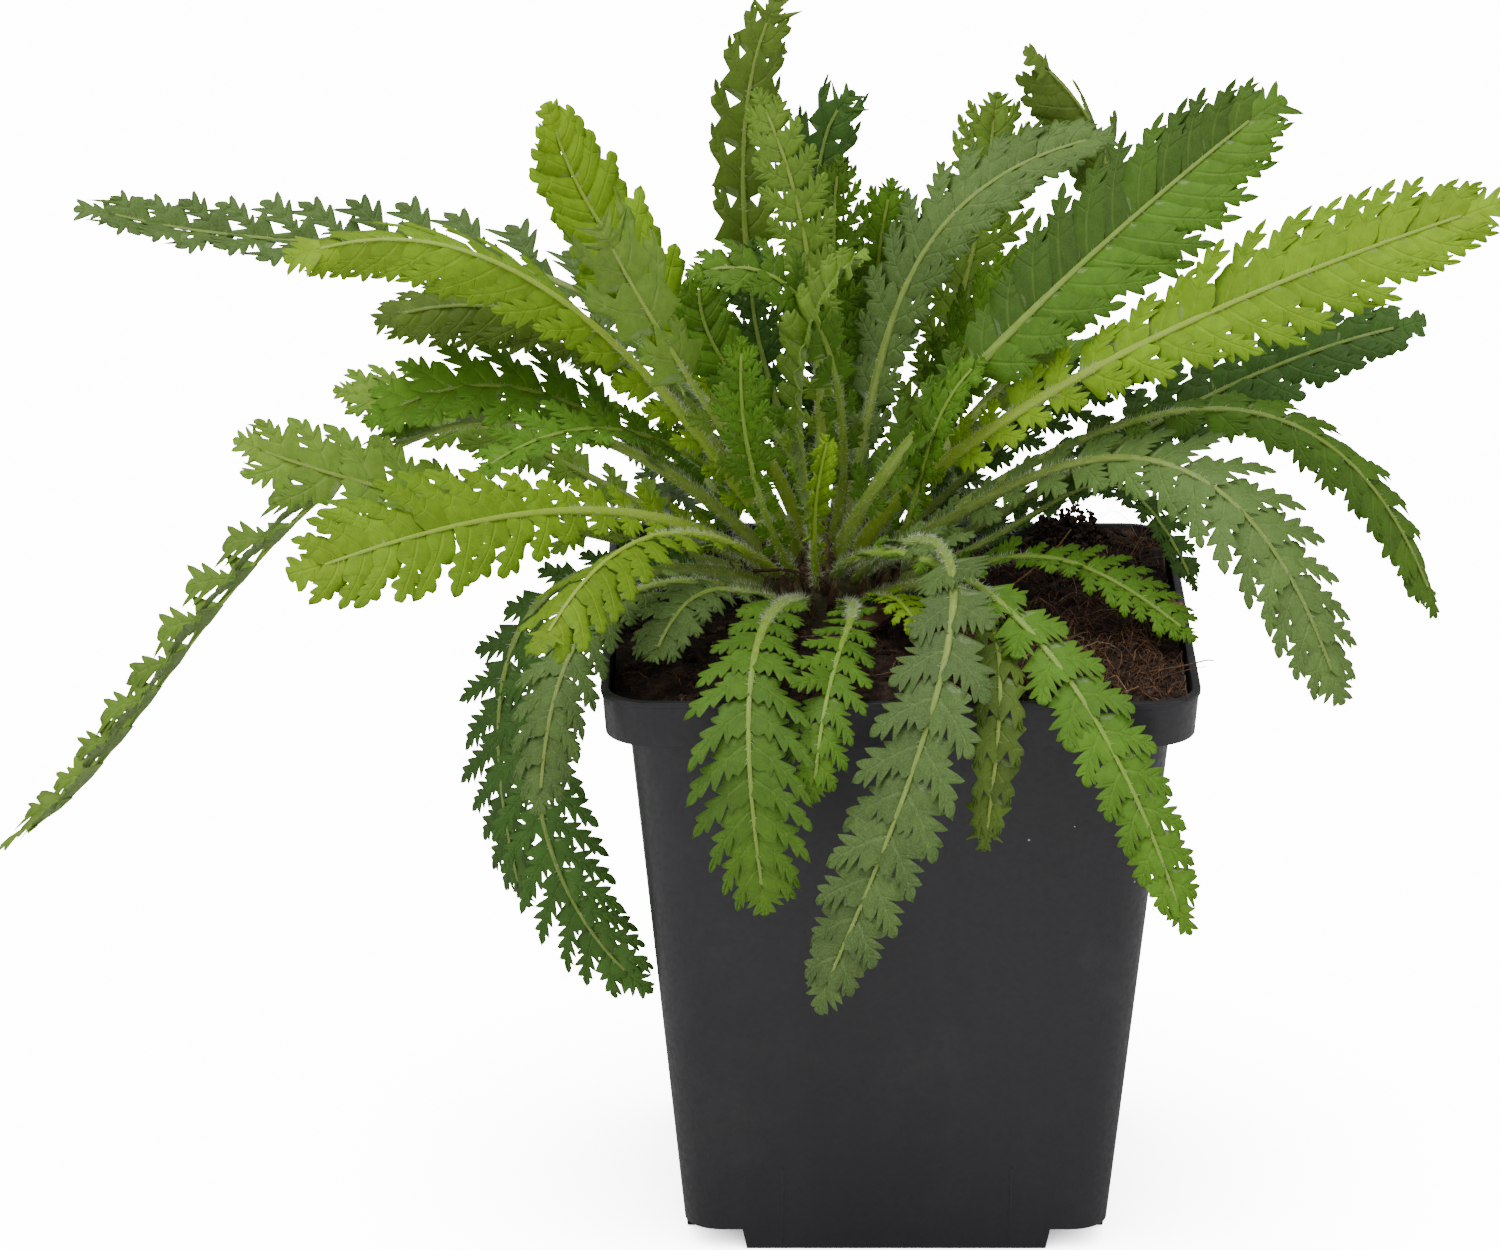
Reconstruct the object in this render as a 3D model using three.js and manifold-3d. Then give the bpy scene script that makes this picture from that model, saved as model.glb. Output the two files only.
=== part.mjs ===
// Potted fernleaf yarrow in a square one-litre nursery pot. Millimetres, +Z up, +X to the right in the
// photograph, +Y away from its camera, origin on the floor under the middle of the pot.
import * as THREE from "three";
import Module from "manifold-3d";

const wasm = await Module();
wasm.setup();

// Driving dimensions of the pot.
const RIM_HALF = 55; // half the width over the lip of the rim
const RIM_Z = 114; // top of the rim
const LIP_STEP = 0.3; // how far the lip stands proud of the band
const LIP_H = 1.0;
const LIP_CHAMFER = 0.1; // height over which the band widens into the lip
const BAND_H = 9.2; // height of the widened band under the rim
const BAND_STEP = 0.4; // height over which the body widens into the band
const BAND_TAPER = 0.6;
const BODY_TOP_HALF = 49.8; // half width of the body right under the band
const BODY_BASE_HALF = 39.5;
const CORNER_R = 9;
const CORNER_STEPS = 3;
const WALL = 1.15;
const FOOT_H = 4; // the corners of the base are raised by this
const FOOT_HALF = 29; // half width of the foot between the raised corners
const FOOT_SLANT = 1.2;
const DRAIN_R = 3;
const DRAIN_AT = 34;
const DRAIN_SIDES = 16;
const GAP = 0.3; // space kept between pieces that touch

// The soil: its level, its slope up to the right, and its waves, long ones with smaller ones on them.
const SOIL_Z = 110.4;
const SOIL_RISE = 2.6;
const SOIL_RISE_END = 52; // where the slope to the right ends
const SOIL_BUMP = 0.9;
const LONG_WAVE = { x: 0.31, y: 0.27, shift: 1.3 }; // radians per millimetre
const SMALL_WAVE = { x: 0.11, y: -0.43, share: 0.6 };
const SOIL_STEP = 0.6; // height over which the soil widens into the band
const SOIL_RINGS = [1, 0.93, 0.83, 0.72, 0.6, 0.47, 0.33, 0.17];

// The crown that all fronds grow from, sunk into the soil.
const CROWN = new THREE.Vector3(-14, 16, 110);
const CROWN_R = 14.5;
const CROWN_DEPTH = 9;
const CROWN_SIDES = 18;
const CROWN_STEPS = 5; // facets from the waist of the dome to its top
const CROWN_BASE = 0.7; // radius of the flat base, as a share
const ROOT_OUT = 0.35; // space between the crown and the foot of a petiole

// What all blades share, in millimetres.
const SHEET = 0.33; // half thickness of a leaflet
const CLEARANCE = 0.25; // space kept between leaflets of different fronds
const RIB_TIP = 0.5; // half width of the rib at the tip of the blade
const RIB_FLAT = 0.75; // height of the rib against its width
const SWEEP = (34 * Math.PI) / 180; // how far leaflets lean towards the tip
const CURVE_STEPS = 80; // divisions by which lengths along a frond are measured
const PETIOLE_STEPS = 4;
const PETIOLE_THIN = 0.85; // half width of the petiole of a very small frond
const PETIOLE_GROWTH = 0.052; // what it gains with the half width of the blade
const RIB_THINNING = 1.05; // how fast the rib gets to its thinnest
const BLADE_END = 0.965; // where the last leaflet pair ends along the curve
const CLOSING_UP = 0.16; // how much closer the pairs stand towards the tip
const BLADE_FOOT = 0.5; // half width at the foot of the blade, as a share of the widest place
const BLADE_SWELL = 2.1; // how soon the blade gets to its widest
const TIP_TAPER = 0.62; // how much of its width the blade loses towards the tip
const TIP_POWER = 3.2;
const LEAFLET_OUTLINE = [[0.62, 0.04], [1, 0.42], [0.7, 0.76]]; // shares of length and pitch
const LIFTS = [0, 9, -9, 18, -18, 28, -28, 40, -40, 54, -54, 70, -70];
const SHRINKS = [1, 0.7, 0.45, 0.2];

const TONES = {
  fresh: 0x6da02a,
  bright: 0x5c9a33,
  pale: 0x8fb055,
  mid: 0x4c7f36,
  dark: 0x33623a,
  grey: 0x6f8f68,
  olive: 0x66803a,
};
const LEAF_ROUGHNESS = 0.7;
const POT_FINISH = { colour: 0x2c2b30, roughness: 0.45 };
const SOIL_FINISH = { colour: 0x2a1c14, roughness: 0.95 };
const CROWN_FINISH = { colour: 0x7d8a4a, roughness: 0.8 };

// One line per frond, chosen by hand against the photograph. root is the heading and rise in degrees and
// the reach of the first stretch. bend and tip are the last two points of its curve. face says where the
// upper side looks at the foot and at the tip of the blade. blade holds the half width, the number of
// leaflet pairs, where the blade starts along the curve, and the fold of its halves in degrees. A last
// value, where there is one, is the power by which the blade tapers instead of TIP_POWER.
const FRONDS = [
  // The left side, from the lowest to the highest.
  { name: "left_hang_side", root: [188, 20, 34], bend: [-86, -3, 122], tip: [-71, -6, 58],
    face: [[-0.3, -0.7, 0.7], [-0.8, -0.6, 0.1]], blade: [10.5, 9, 0.4, 10], tone: "dark" },
  { name: "left_hang_tip", root: [206, 24, 62], bend: [-78, -20, 70], tip: [-48, -28, 49],
    face: [[-0.3, -0.8, 0.6], [-0.1, -1, 0.2]], blade: [12, 11, 0.36, 0], tone: "dark" },
  { name: "left_rim", root: [223, 20, 26], bend: [-64, -44, 140], tip: [-66, -54, 94],
    face: [[-0.2, -0.6, 0.8], [-0.2, -1, 0.3]], blade: [9.5, 9, 0.38, -8], tone: "grey" },
  { name: "left_near", root: [224, 37, 26], bend: [-52, -50, 150], tip: [-65, -73, 131],
    face: [[-0.3, -0.3, 0.9], [-0.3, -0.8, 0.6]], blade: [11, 8, 0.45, -24], tone: "fresh" },
  { name: "left_sweep", root: [203, 38, 34], bend: [-78, -46, 148], tip: [-108, -58, 140],
    face: [[0, -0.8, 0.7], [0.1, -0.9, 0.4]], blade: [14, 10, 0.42, 4], tone: "fresh" },
  { name: "left_behind", root: [171, 19, 28], bend: [-88, -4, 134], tip: [-121, -12, 150],
    face: [[0.1, -0.6, 0.8], [0.3, -0.8, 0.5]], blade: [12.5, 6, 0.42, 6, 2.6], tone: "pale" },
  { name: "left_drooper", root: [180, 45, 116], bend: [-140, 0, 70], tip: [-169, -10, 73],
    face: [[-0.4, -0.2, 0.9], [-0.8, -0.2, 0.5]], blade: [10, 11, 0.38, 46, 2.2], tone: "pale" },
  { name: "left_spiky", root: [192, 57, 28], bend: [-58, -2, 158], tip: [-78, -6, 143],
    face: [[0.1, -0.5, 0.9], [-0.3, -0.6, 0.8]], blade: [8, 7, 0.4, 25], tone: "bright" },
  { name: "left_level", root: [155, 37, 32], bend: [-70, 12, 166], tip: [-98, 9, 149],
    face: [[0.3, -0.5, 0.9], [0, -0.7, 0.8]], blade: [12, 7, 0.3, 14, 2.6], tone: "bright" },
  { name: "left_level_back", root: [152, 19, 28], bend: [-78, 32, 145], tip: [-105, 26, 149],
    face: [[0.1, -0.5, 0.9], [0.1, -0.6, 0.8]], blade: [10.5, 7, 0.42, 10], tone: "pale" },
  { name: "left_olive", root: [161, 56, 40], bend: [-66, 16, 176], tip: [-96, 8, 169],
    face: [[0.5, -0.4, 0.7], [0.1, -0.7, 0.8]], blade: [11, 9, 0.4, -16], tone: "olive" },
  { name: "left_arch", root: [216, 54, 42], bend: [-70, -2, 199], tip: [-111, -8, 185.5],
    face: [[0.5, -0.4, 0.7], [-0.1, -0.7, 0.7]], blade: [13.5, 10, 0.42, -34, 1.9], tone: "fresh" },
  { name: "left_top", root: [138, 54, 84], bend: [-98, 46, 163], tip: [-154, 36, 183],
    face: [[0.3, -0.6, 0.8], [-0.1, -0.6, 0.8]], blade: [11.5, 12, 0.3, 30, 1.8], tone: "grey" },
  // The upright ones on the left of the middle.
  { name: "quilted_tall", root: [200, 74, 30], bend: [-59, 11, 180], tip: [-64.5, 8, 208],
    face: [[0.4, -0.8, 0.4], [0.5, -0.8, 0.3]], blade: [12, 10, 0.4, 20, 2.4], tone: "fresh" },
  { name: "few_lobed", root: [238, 55, 24], bend: [-44, -11, 168], tip: [-54, -15, 191],
    face: [[0.2, -0.9, 0.4], [0.3, -0.9, 0.3]], blade: [13, 3, 0.58, 4], tone: "pale" },
  { name: "quilted_short", root: [256, 74, 26], bend: [-39, 3, 160], tip: [-37, 3, 178],
    face: [[0.3, -0.9, 0.3], [0.1, -1, 0.2]], blade: [6.5, 7, 0.4, 20], tone: "bright" },
  { name: "dark_upright", root: [130, 74, 26], bend: [-29, 22, 160], tip: [-27, 24, 178],
    face: [[0.2, -0.9, 0.3], [0, -1, 0.2]], blade: [8, 7, 0.4, 14], tone: "dark" },
  { name: "spiky_upright", root: [245, 37, 13], bend: [-31, -13, 152], tip: [-29, -13, 170],
    face: [[0, -0.9, 0.4], [0, -1, 0.2]], blade: [6.5, 7, 0.42, 20], tone: "bright" },
  { name: "tallest", root: [118, 57, 34], bend: [-35, 34, 198], tip: [-23, 33, 223],
    face: [[0.1, -1, 0.1], [0, -1, 0.2]], blade: [10, 6, 0.42, 4, 2.6], tone: "olive" },
  { name: "bowed_left", root: [308, 74, 26], bend: [-12, -5, 190], tip: [-38, -12, 183],
    face: [[0.2, -0.9, 0.4], [0.3, -0.8, 0.6]], blade: [7.5, 7, 0.42, 10], tone: "mid" },
  { name: "pale_upright", root: [0, 90, 30], bend: [-14, 13, 186], tip: [-26, 11, 211],
    face: [[0.1, -1, 0.2], [0.1, -1, 0.2]], blade: [8, 7, 0.46, 12, 2.4], tone: "pale" },
  { name: "dark_forked", root: [88, 56, 30], bend: [-20, 38, 196], tip: [-9, 36, 204],
    face: [[0, -1, 0.1], [-0.2, -0.9, 0.2]], blade: [9, 4, 0.6, 6], tone: "dark" },
  { name: "middle_tuft", root: [55, 74, 26], bend: [-14, 20, 170], tip: [-11, 19, 196],
    face: [[0, -1, 0.2], [0.1, -1, 0.2]], blade: [8, 8, 0.42, 12], tone: "mid" },
  { name: "middle_tuft_right", root: [58, 56, 24], bend: [-6, 24, 168], tip: [-1, 24, 190],
    face: [[-0.1, -1, 0.2], [0, -1, 0.3]], blade: [8.5, 8, 0.32, 12], tone: "bright" },
  { name: "furled_tall", root: [264, 52, 14], bend: [-26, -8, 172], tip: [-7, -9, 186],
    face: [[-0.9, -0.5, 0.1], [-0.8, -0.5, 0.3]], blade: [6, 9, 0.42, 45], tone: "pale" },
  { name: "furled_short", root: [266, 34, 9], bend: [-17, -9, 136], tip: [-13, -8, 150],
    face: [[0.5, -0.8, 0.2], [0.5, -0.8, 0.2]], blade: [3.5, 6, 0.4, 40], tone: "fresh" },
  // The right side, from the highest to the lowest.
  { name: "right_pale_back", root: [24, 57, 30], bend: [18, 40, 176], tip: [19, 40, 202],
    face: [[-0.2, -0.9, 0.3], [0, -1, 0.2]], blade: [12, 9, 0.34, 8], tone: "pale" },
  { name: "right_grey_long", root: [0, 74, 30], bend: [-6, 16, 192], tip: [39, 24, 200],
    face: [[-0.4, -0.8, 0.4], [-0.2, -0.7, 0.7]], blade: [11, 11, 0.26, 16, 2.4], tone: "grey" },
  { name: "right_hooked", root: [350, 56, 40], bend: [64, 42, 180], tip: [26, 28, 214],
    face: [[-0.5, -0.7, 0.4], [0.4, -0.5, 0.7]], blade: [12, 8, 0.46, -42], tone: "olive" },
  { name: "right_upper", root: [292, 55, 32], bend: [35, -6, 187], tip: [68, -1, 212],
    face: [[-0.4, -0.8, 0.4], [-0.3, -0.9, 0.3]], blade: [17, 11, 0.4, 8, 2.4], tone: "mid" },
  { name: "right_bright", root: [320, 55, 34], bend: [55, -22, 181], tip: [106.5, -28, 200],
    face: [[-0.3, -0.7, 0.6], [-0.2, -0.9, 0.4]], blade: [15, 12, 0.42, 4, 2.8], tone: "fresh" },
  { name: "right_dark", root: [16, 20, 32], bend: [58, 20, 156], tip: [98, 18, 165],
    face: [[-0.2, -0.6, 0.8], [-0.2, -0.8, 0.6]], blade: [11, 11, 0.3, 8, 2.4], tone: "dark" },
  { name: "right_fall", root: [0, 37, 34], bend: [78, 6, 182], tip: [102, 0, 114],
    face: [[-0.2, -0.5, 0.8], [0.6, -0.6, 0.5]], blade: [8.5, 10, 0.46, -14], tone: "mid" },
  { name: "right_arch", root: [343, 37, 34], bend: [58, -32, 179], tip: [81, -37, 110],
    face: [[-0.2, -0.6, 0.8], [0.4, -0.8, 0.4]], blade: [13.5, 10, 0.38, -6, 2.6], tone: "grey" },
  { name: "right_back_hang", root: [356, 19, 36], bend: [40, 16, 152], tip: [56, -8, 121],
    face: [[0, -0.5, 0.9], [0.1, -0.6, 0.8]], blade: [4.5, 8, 0.42, 16], tone: "dark" },
  { name: "right_over_soil", root: [338, 19, 26], bend: [28, -2, 133], tip: [54, -27, 118],
    face: [[0, -0.4, 1], [-0.1, -0.5, 0.9]], blade: [7, 9, 0.4, 16], tone: "bright" },
  { name: "right_inner", root: [326, 38, 18], bend: [1, -10, 152], tip: [15, -8, 165],
    face: [[-0.6, -0.7, 0.3], [-0.6, -0.7, 0.3]], blade: [5.5, 7, 0.4, 20], tone: "bright" },
  { name: "right_middle", root: [36, 37, 26], bend: [6, 10, 170], tip: [31, 8, 182],
    face: [[-0.3, -0.8, 0.5], [-0.2, -0.8, 0.6]], blade: [8.5, 10, 0.22, 10], tone: "bright" },
  { name: "right_low", root: [18, 37, 26], bend: [30, 16, 154], tip: [48, 14, 158],
    face: [[-0.2, -0.6, 0.8], [-0.2, -0.7, 0.7]], blade: [8, 7, 0.4, 10], tone: "dark" },
  { name: "middle_dark", root: [100, 38, 28], bend: [-4, 34, 166], tip: [6, 29, 182],
    face: [[0, -1, 0.2], [-0.1, -1, 0.3]], blade: [9.5, 10, 0.22, 10], tone: "dark" },
  // The front, hanging over the rim.
  { name: "front_right", root: [286, 41, 18], bend: [27, -58, 151], tip: [51, -74, 78],
    face: [[0.1, -0.5, 0.9], [0.1, -1, 0.2]], blade: [9.5, 9, 0.4, 4, 2.2], tone: "bright" },
  { name: "front_thin", root: [318, 20, 32], bend: [21, -68, 139], tip: [15, -65, 90],
    face: [[0, -0.4, 0.9], [0, -1, 0.1]], blade: [6.5, 7, 0.42, 8], tone: "olive" },
  { name: "front_grey", root: [306, 38, 34], bend: [24, -73, 156], tip: [-15, -73, 63],
    face: [[-0.2, -0.6, 0.8], [-0.3, -0.9, 0.2]], blade: [12.5, 10, 0.34, 10, 2.2], tone: "grey" },
  { name: "front_left_fern", root: [256, 19, 22], bend: [-33, -76, 138], tip: [-25, -67, 80],
    face: [[0, -0.4, 0.9], [0, -1, 0.1]], blade: [13.5, 10, 0.34, 4], tone: "mid" },
  { name: "front_fern", root: [286, 17, 22], bend: [-14, -64, 132], tip: [-16, -65, 100],
    face: [[0, -0.4, 0.9], [0, -1, 0.1]], blade: [8.5, 8, 0.36, 4], tone: "bright" },
  { name: "front_left_grey", root: [240, 17, 16], bend: [-38, -22, 132], tip: [-45, -42, 119],
    face: [[0, -0.5, 0.9], [-0.2, -0.8, 0.6]], blade: [8, 6, 0.4, 6], tone: "grey" },
  { name: "front_sprig", root: [302, 17, 9], bend: [-1, -14, 124], tip: [4, -24, 118],
    face: [[0, -0.3, 1], [0.1, -0.6, 0.8]], blade: [6, 5, 0.4, 10], tone: "fresh" },
  // The back, which the photograph doesn't show.
  { name: "back_left", root: [116, 20, 36], bend: [-50, 76, 160], tip: [-62, 98, 134],
    face: [[0, 0.4, 0.9], [-0.3, 0.8, 0.5]], blade: [9.5, 9, 0.4, 6], tone: "mid" },
  { name: "back_middle", root: [74, 38, 40], bend: [-6, 82, 172], tip: [0, 112, 150],
    face: [[0, 0.4, 0.9], [0, 0.8, 0.5]], blade: [10, 9, 0.4, 6], tone: "pale" },
  { name: "back_right", root: [40, 20, 36], bend: [34, 74, 160], tip: [48, 98, 134],
    face: [[0, 0.4, 0.9], [0.3, 0.8, 0.5]], blade: [9.5, 9, 0.4, 6], tone: "bright" },
  { name: "back_hang_left", root: [134, 20, 26], bend: [-42, 74, 150], tip: [-46, 72, 84],
    face: [[0, 0.4, 0.9], [0, 1, 0.1]], blade: [9, 9, 0.38, 4], tone: "dark" },
  { name: "back_hang_right", root: [66, 20, 26], bend: [12, 80, 148], tip: [20, 73, 80],
    face: [[0, 0.4, 0.9], [0, 1, 0.1]], blade: [9, 9, 0.38, 4], tone: "mid" },
];

const DEG = Math.PI / 180;
const group = new THREE.Group();
group.name = "potted_fernleaf_yarrow";

function addMesh(name, geometry, { colour, roughness }) {
  const mesh = new THREE.Mesh(
    geometry,
    new THREE.MeshStandardMaterial({ color: colour, roughness }),
  );
  mesh.name = name;
  group.add(mesh);
}

function geometryOf(points, faces) {
  const geometry = new THREE.BufferGeometry();
  geometry.setAttribute(
    "position",
    new THREE.Float32BufferAttribute(points.flatMap((p) => [p.x, p.y, p.z]), 3),
  );
  geometry.setIndex(faces.flat());
  geometry.computeVertexNormals();
  return geometry;
}

function solidFrom(points, faces) {
  return new wasm.Manifold(
    new wasm.Mesh({
      numProp: 3,
      vertProperties: Float32Array.from(points.flatMap((p) => [p.x, p.y, p.z])),
      triVerts: Uint32Array.from(faces.flat()),
    }),
  );
}

function geometryFromSolid(solid) {
  const mesh = solid.getMesh();
  const geometry = new THREE.BufferGeometry();
  const corners = [];
  for (let i = 0; i < mesh.numVert; i++)
    corners.push(...mesh.vertProperties.subarray(i * mesh.numProp, i * mesh.numProp + 3));
  geometry.setAttribute("position", new THREE.Float32BufferAttribute(corners, 3));
  geometry.setIndex(Array.from(mesh.triVerts));
  geometry.computeVertexNormals();
  return geometry;
}

// A rounded square seen from above, counter-clockwise.
function squareRing(half, radius, z) {
  const ring = [];
  for (let quarter = 0; quarter < 4; quarter++)
    for (let i = 0; i <= CORNER_STEPS; i++) {
      const turn = (quarter + i / CORNER_STEPS) * 90 * DEG;
      const middle = (quarter * 90 + 45) * DEG;
      const reach = (half - radius) * Math.SQRT2;
      ring.push(
        new THREE.Vector3(
          reach * Math.cos(middle) + radius * Math.cos(turn),
          reach * Math.sin(middle) + radius * Math.sin(turn),
          z,
        ),
      );
    }
  return ring;
}

// A closed skin over a stack of rings that have equally many points, with flat ends.
function loft(rings, lastPoint) {
  const n = rings[0].length;
  const points = rings.flat();
  const faces = [];
  for (let r = 0; r + 1 < rings.length; r++)
    for (let i = 0; i < n; i++) {
      const a = r * n + i;
      const b = r * n + ((i + 1) % n);
      faces.push([a, b, b + n], [a, b + n, a + n]);
    }
  const foot = points.length;
  points.push(middleOf(rings[0]));
  const head = points.length;
  points.push(lastPoint || middleOf(rings[rings.length - 1]));
  const top = (rings.length - 1) * n;
  for (let i = 0; i < n; i++) {
    const j = (i + 1) % n;
    faces.push([foot, j, i], [head, top + i, top + j]);
  }
  return { points, faces };
}

function middleOf(ring) {
  const middle = new THREE.Vector3();
  ring.forEach((p) => middle.add(p));
  return middle.divideScalar(ring.length);
}

// The four blocks that the raised corners of the base leave free. Their inner sides slant.
function cornerBlocks(inner, top) {
  const low = -1;
  const far = RIM_HALF;
  const blocks = [];
  for (let quarter = 0; quarter < 4; quarter++) {
    const ringAt = (near, z) =>
      [[near, near], [far, near], [far, far], [near, far]].map(([x, y]) =>
        new THREE.Vector3(x, y, z).applyAxisAngle(new THREE.Vector3(0, 0, 1), quarter * 90 * DEG),
      );
    const block = loft([ringAt(inner - FOOT_SLANT, low), ringAt(inner, top)]);
    blocks.push(solidFrom(block.points, block.faces));
  }
  return blocks.reduce((all, block) => all.add(block));
}

function bodyHalf(z) {
  return BODY_BASE_HALF + ((BODY_TOP_HALF - BODY_BASE_HALF) * z) / (RIM_Z - BAND_H);
}

// The pot: one skin from the foot to the lip, less its inside, the corner blocks and the drain holes.
function makePot() {
  const bandZ = RIM_Z - BAND_H;
  const bandHalf = RIM_HALF - LIP_STEP;
  const outside = loft([
    squareRing(BODY_BASE_HALF, CORNER_R, 0),
    squareRing(BODY_TOP_HALF, CORNER_R, bandZ),
    squareRing(bandHalf - BAND_TAPER, CORNER_R, bandZ + BAND_STEP),
    squareRing(bandHalf, CORNER_R, RIM_Z - LIP_H - LIP_CHAMFER),
    squareRing(RIM_HALF, CORNER_R + LIP_STEP, RIM_Z - LIP_H),
    squareRing(RIM_HALF, CORNER_R + LIP_STEP, RIM_Z),
  ]);
  const inside = loft([
    squareRing(bodyHalf(WALL) - WALL, CORNER_R - WALL, WALL),
    squareRing(BODY_TOP_HALF - WALL, CORNER_R - WALL, bandZ + WALL),
    squareRing(bandHalf - BAND_TAPER - WALL, CORNER_R - WALL, bandZ + WALL + BAND_STEP),
    squareRing(bandHalf - WALL, CORNER_R - WALL, RIM_Z + 1),
  ]);
  const shell = solidFrom(outside.points, outside.faces).subtract(cornerBlocks(FOOT_HALF, FOOT_H));
  const room = solidFrom(inside.points, inside.faces).subtract(
    cornerBlocks(FOOT_HALF - WALL, FOOT_H + WALL),
  );
  let pot = shell.subtract(room);
  for (const x of [-DRAIN_AT, DRAIN_AT])
    for (const y of [-DRAIN_AT, DRAIN_AT]) {
      const ringAt = (z) =>
        Array.from({ length: DRAIN_SIDES }, (_, i) => {
          const turn = (i * 360 * DEG) / DRAIN_SIDES;
          return new THREE.Vector3(x + DRAIN_R * Math.cos(turn), y + DRAIN_R * Math.sin(turn), z);
        });
      const drill = loft([ringAt(FOOT_H - 1), ringAt(FOOT_H + WALL + 1)]);
      pot = pot.subtract(solidFrom(drill.points, drill.faces));
    }
  return pot;
}

// A stepless wave that makes the soil uneven without random numbers.
function soilLevel(x, y) {
  const slope = THREE.MathUtils.smoothstep(x, 0, SOIL_RISE_END) * SOIL_RISE;
  const long = Math.sin(x * LONG_WAVE.x + LONG_WAVE.shift) * Math.cos(y * LONG_WAVE.y);
  const small = SMALL_WAVE.share * Math.sin(x * SMALL_WAVE.x + y * SMALL_WAVE.y);
  return SOIL_Z + slope + SOIL_BUMP * (long + small);
}

function makeSoil(crownHole) {
  const bandZ = RIM_Z - BAND_H;
  const loose = WALL + GAP;
  const edgeHalf = RIM_HALF - LIP_STEP - BAND_TAPER - loose;
  const rings = [
    squareRing(bodyHalf(loose) - loose, CORNER_R - loose, loose),
    squareRing(BODY_TOP_HALF - loose, CORNER_R - loose, bandZ + loose),
    squareRing(edgeHalf, CORNER_R - loose, bandZ + loose + SOIL_STEP),
  ];
  for (const share of SOIL_RINGS) {
    const ring = squareRing(edgeHalf * share, (CORNER_R - loose) * share, 0);
    ring.forEach((p) => (p.z = soilLevel(p.x, p.y)));
    rings.push(ring);
  }
  const skin = loft(rings, new THREE.Vector3(0, 0, soilLevel(0, 0)));
  return solidFrom(skin.points, skin.faces)
    .subtract(cornerBlocks(FOOT_HALF - loose, FOOT_H + loose))
    .subtract(crownHole);
}

// The crown is a closed lathe profile: a stump below the soil and a dome above it.
function makeCrown(extra) {
  const radius = CROWN_R + extra;
  const profile = [new THREE.Vector2(0, -CROWN_DEPTH - extra)];
  profile.push(new THREE.Vector2(radius * CROWN_BASE, -CROWN_DEPTH - extra));
  profile.push(new THREE.Vector2(radius, -CROWN_DEPTH / 2));
  for (let i = 0; i < CROWN_STEPS; i++) {
    const rise = (i / CROWN_STEPS) * 90 * DEG;
    profile.push(new THREE.Vector2(radius * Math.cos(rise), radius * Math.sin(rise)));
  }
  profile.push(new THREE.Vector2(0, radius));
  const lathe = new THREE.LatheGeometry(profile, CROWN_SIDES);
  lathe.rotateX(90 * DEG);
  lathe.translate(CROWN.x, CROWN.y, CROWN.z);
  return closed(lathe);
}

// Joins the seam and the poles of a lathe, so that it is one closed skin.
function closed(geometry) {
  const place = geometry.attributes.position;
  const seen = new Map();
  const points = [];
  const link = [];
  for (let i = 0; i < place.count; i++) {
    const p = new THREE.Vector3().fromBufferAttribute(place, i);
    const key = [p.x, p.y, p.z].map((v) => Math.round(v * 1000)).join();
    if (!seen.has(key)) {
      seen.set(key, points.length);
      points.push(p);
    }
    link.push(seen.get(key));
  }
  const faces = [];
  const index = geometry.index.array;
  for (let i = 0; i < index.length; i += 3) {
    const face = [link[index[i]], link[index[i + 1]], link[index[i + 2]]];
    if (new Set(face).size === 3) faces.push(face);
  }
  return { points, faces };
}

// The curve of a frond: out of the crown, through its bend, to its tip, with places by length.
function pathOf(frond) {
  const [heading, rise, reach] = frond.root;
  const out = new THREE.Vector3(
    Math.cos(rise * DEG) * Math.cos(heading * DEG),
    Math.cos(rise * DEG) * Math.sin(heading * DEG),
    Math.sin(rise * DEG),
  );
  const foot = CROWN.clone().addScaledVector(out, CROWN_R + ROOT_OUT);
  return new THREE.CubicBezierCurve3(
    foot,
    foot.clone().addScaledVector(out, reach),
    new THREE.Vector3(...frond.bend),
    new THREE.Vector3(...frond.tip),
  );
}

// Where a place along a frond is, which way it runs, and which way its upper side looks.
function frameAt(frond, path, along) {
  const at = path.getPointAt(along);
  const run = path.getTangentAt(along);
  const [, , bladeStart] = frond.blade;
  const turn = THREE.MathUtils.smoothstep(along, bladeStart / 2, 1);
  const up = new THREE.Vector3(...frond.face[0]).normalize();
  up.lerp(new THREE.Vector3(...frond.face[1]).normalize(), turn);
  up.addScaledVector(run, -up.dot(run)).normalize();
  const side = new THREE.Vector3().crossVectors(run, up);
  return { at, run, up, side };
}

// Half the width of the petiole and rib, from the foot to the tip.
function ribHalf(frond, along) {
  const start = PETIOLE_THIN + PETIOLE_GROWTH * frond.blade[0];
  return THREE.MathUtils.lerp(start, RIB_TIP, Math.min(1, along * RIB_THINNING));
}

// The widths of the blade from its foot to its tip, as shares of the widest place.
function spread(share, power = TIP_POWER) {
  const swell = Math.sin(Math.min(1, share * BLADE_SWELL) * 90 * DEG);
  return BLADE_FOOT + (1 - BLADE_FOOT) * swell - TIP_TAPER * share ** power;
}

// The places along the curve between which the leaflet pairs stand. They close up towards the tip.
function stations(frond) {
  const [, pairs, start] = frond.blade;
  return Array.from({ length: pairs + 1 }, (_, i) => {
    const share = i / pairs;
    return start + (BLADE_END - start) * (share + CLOSING_UP * share * (1 - share));
  });
}

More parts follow.
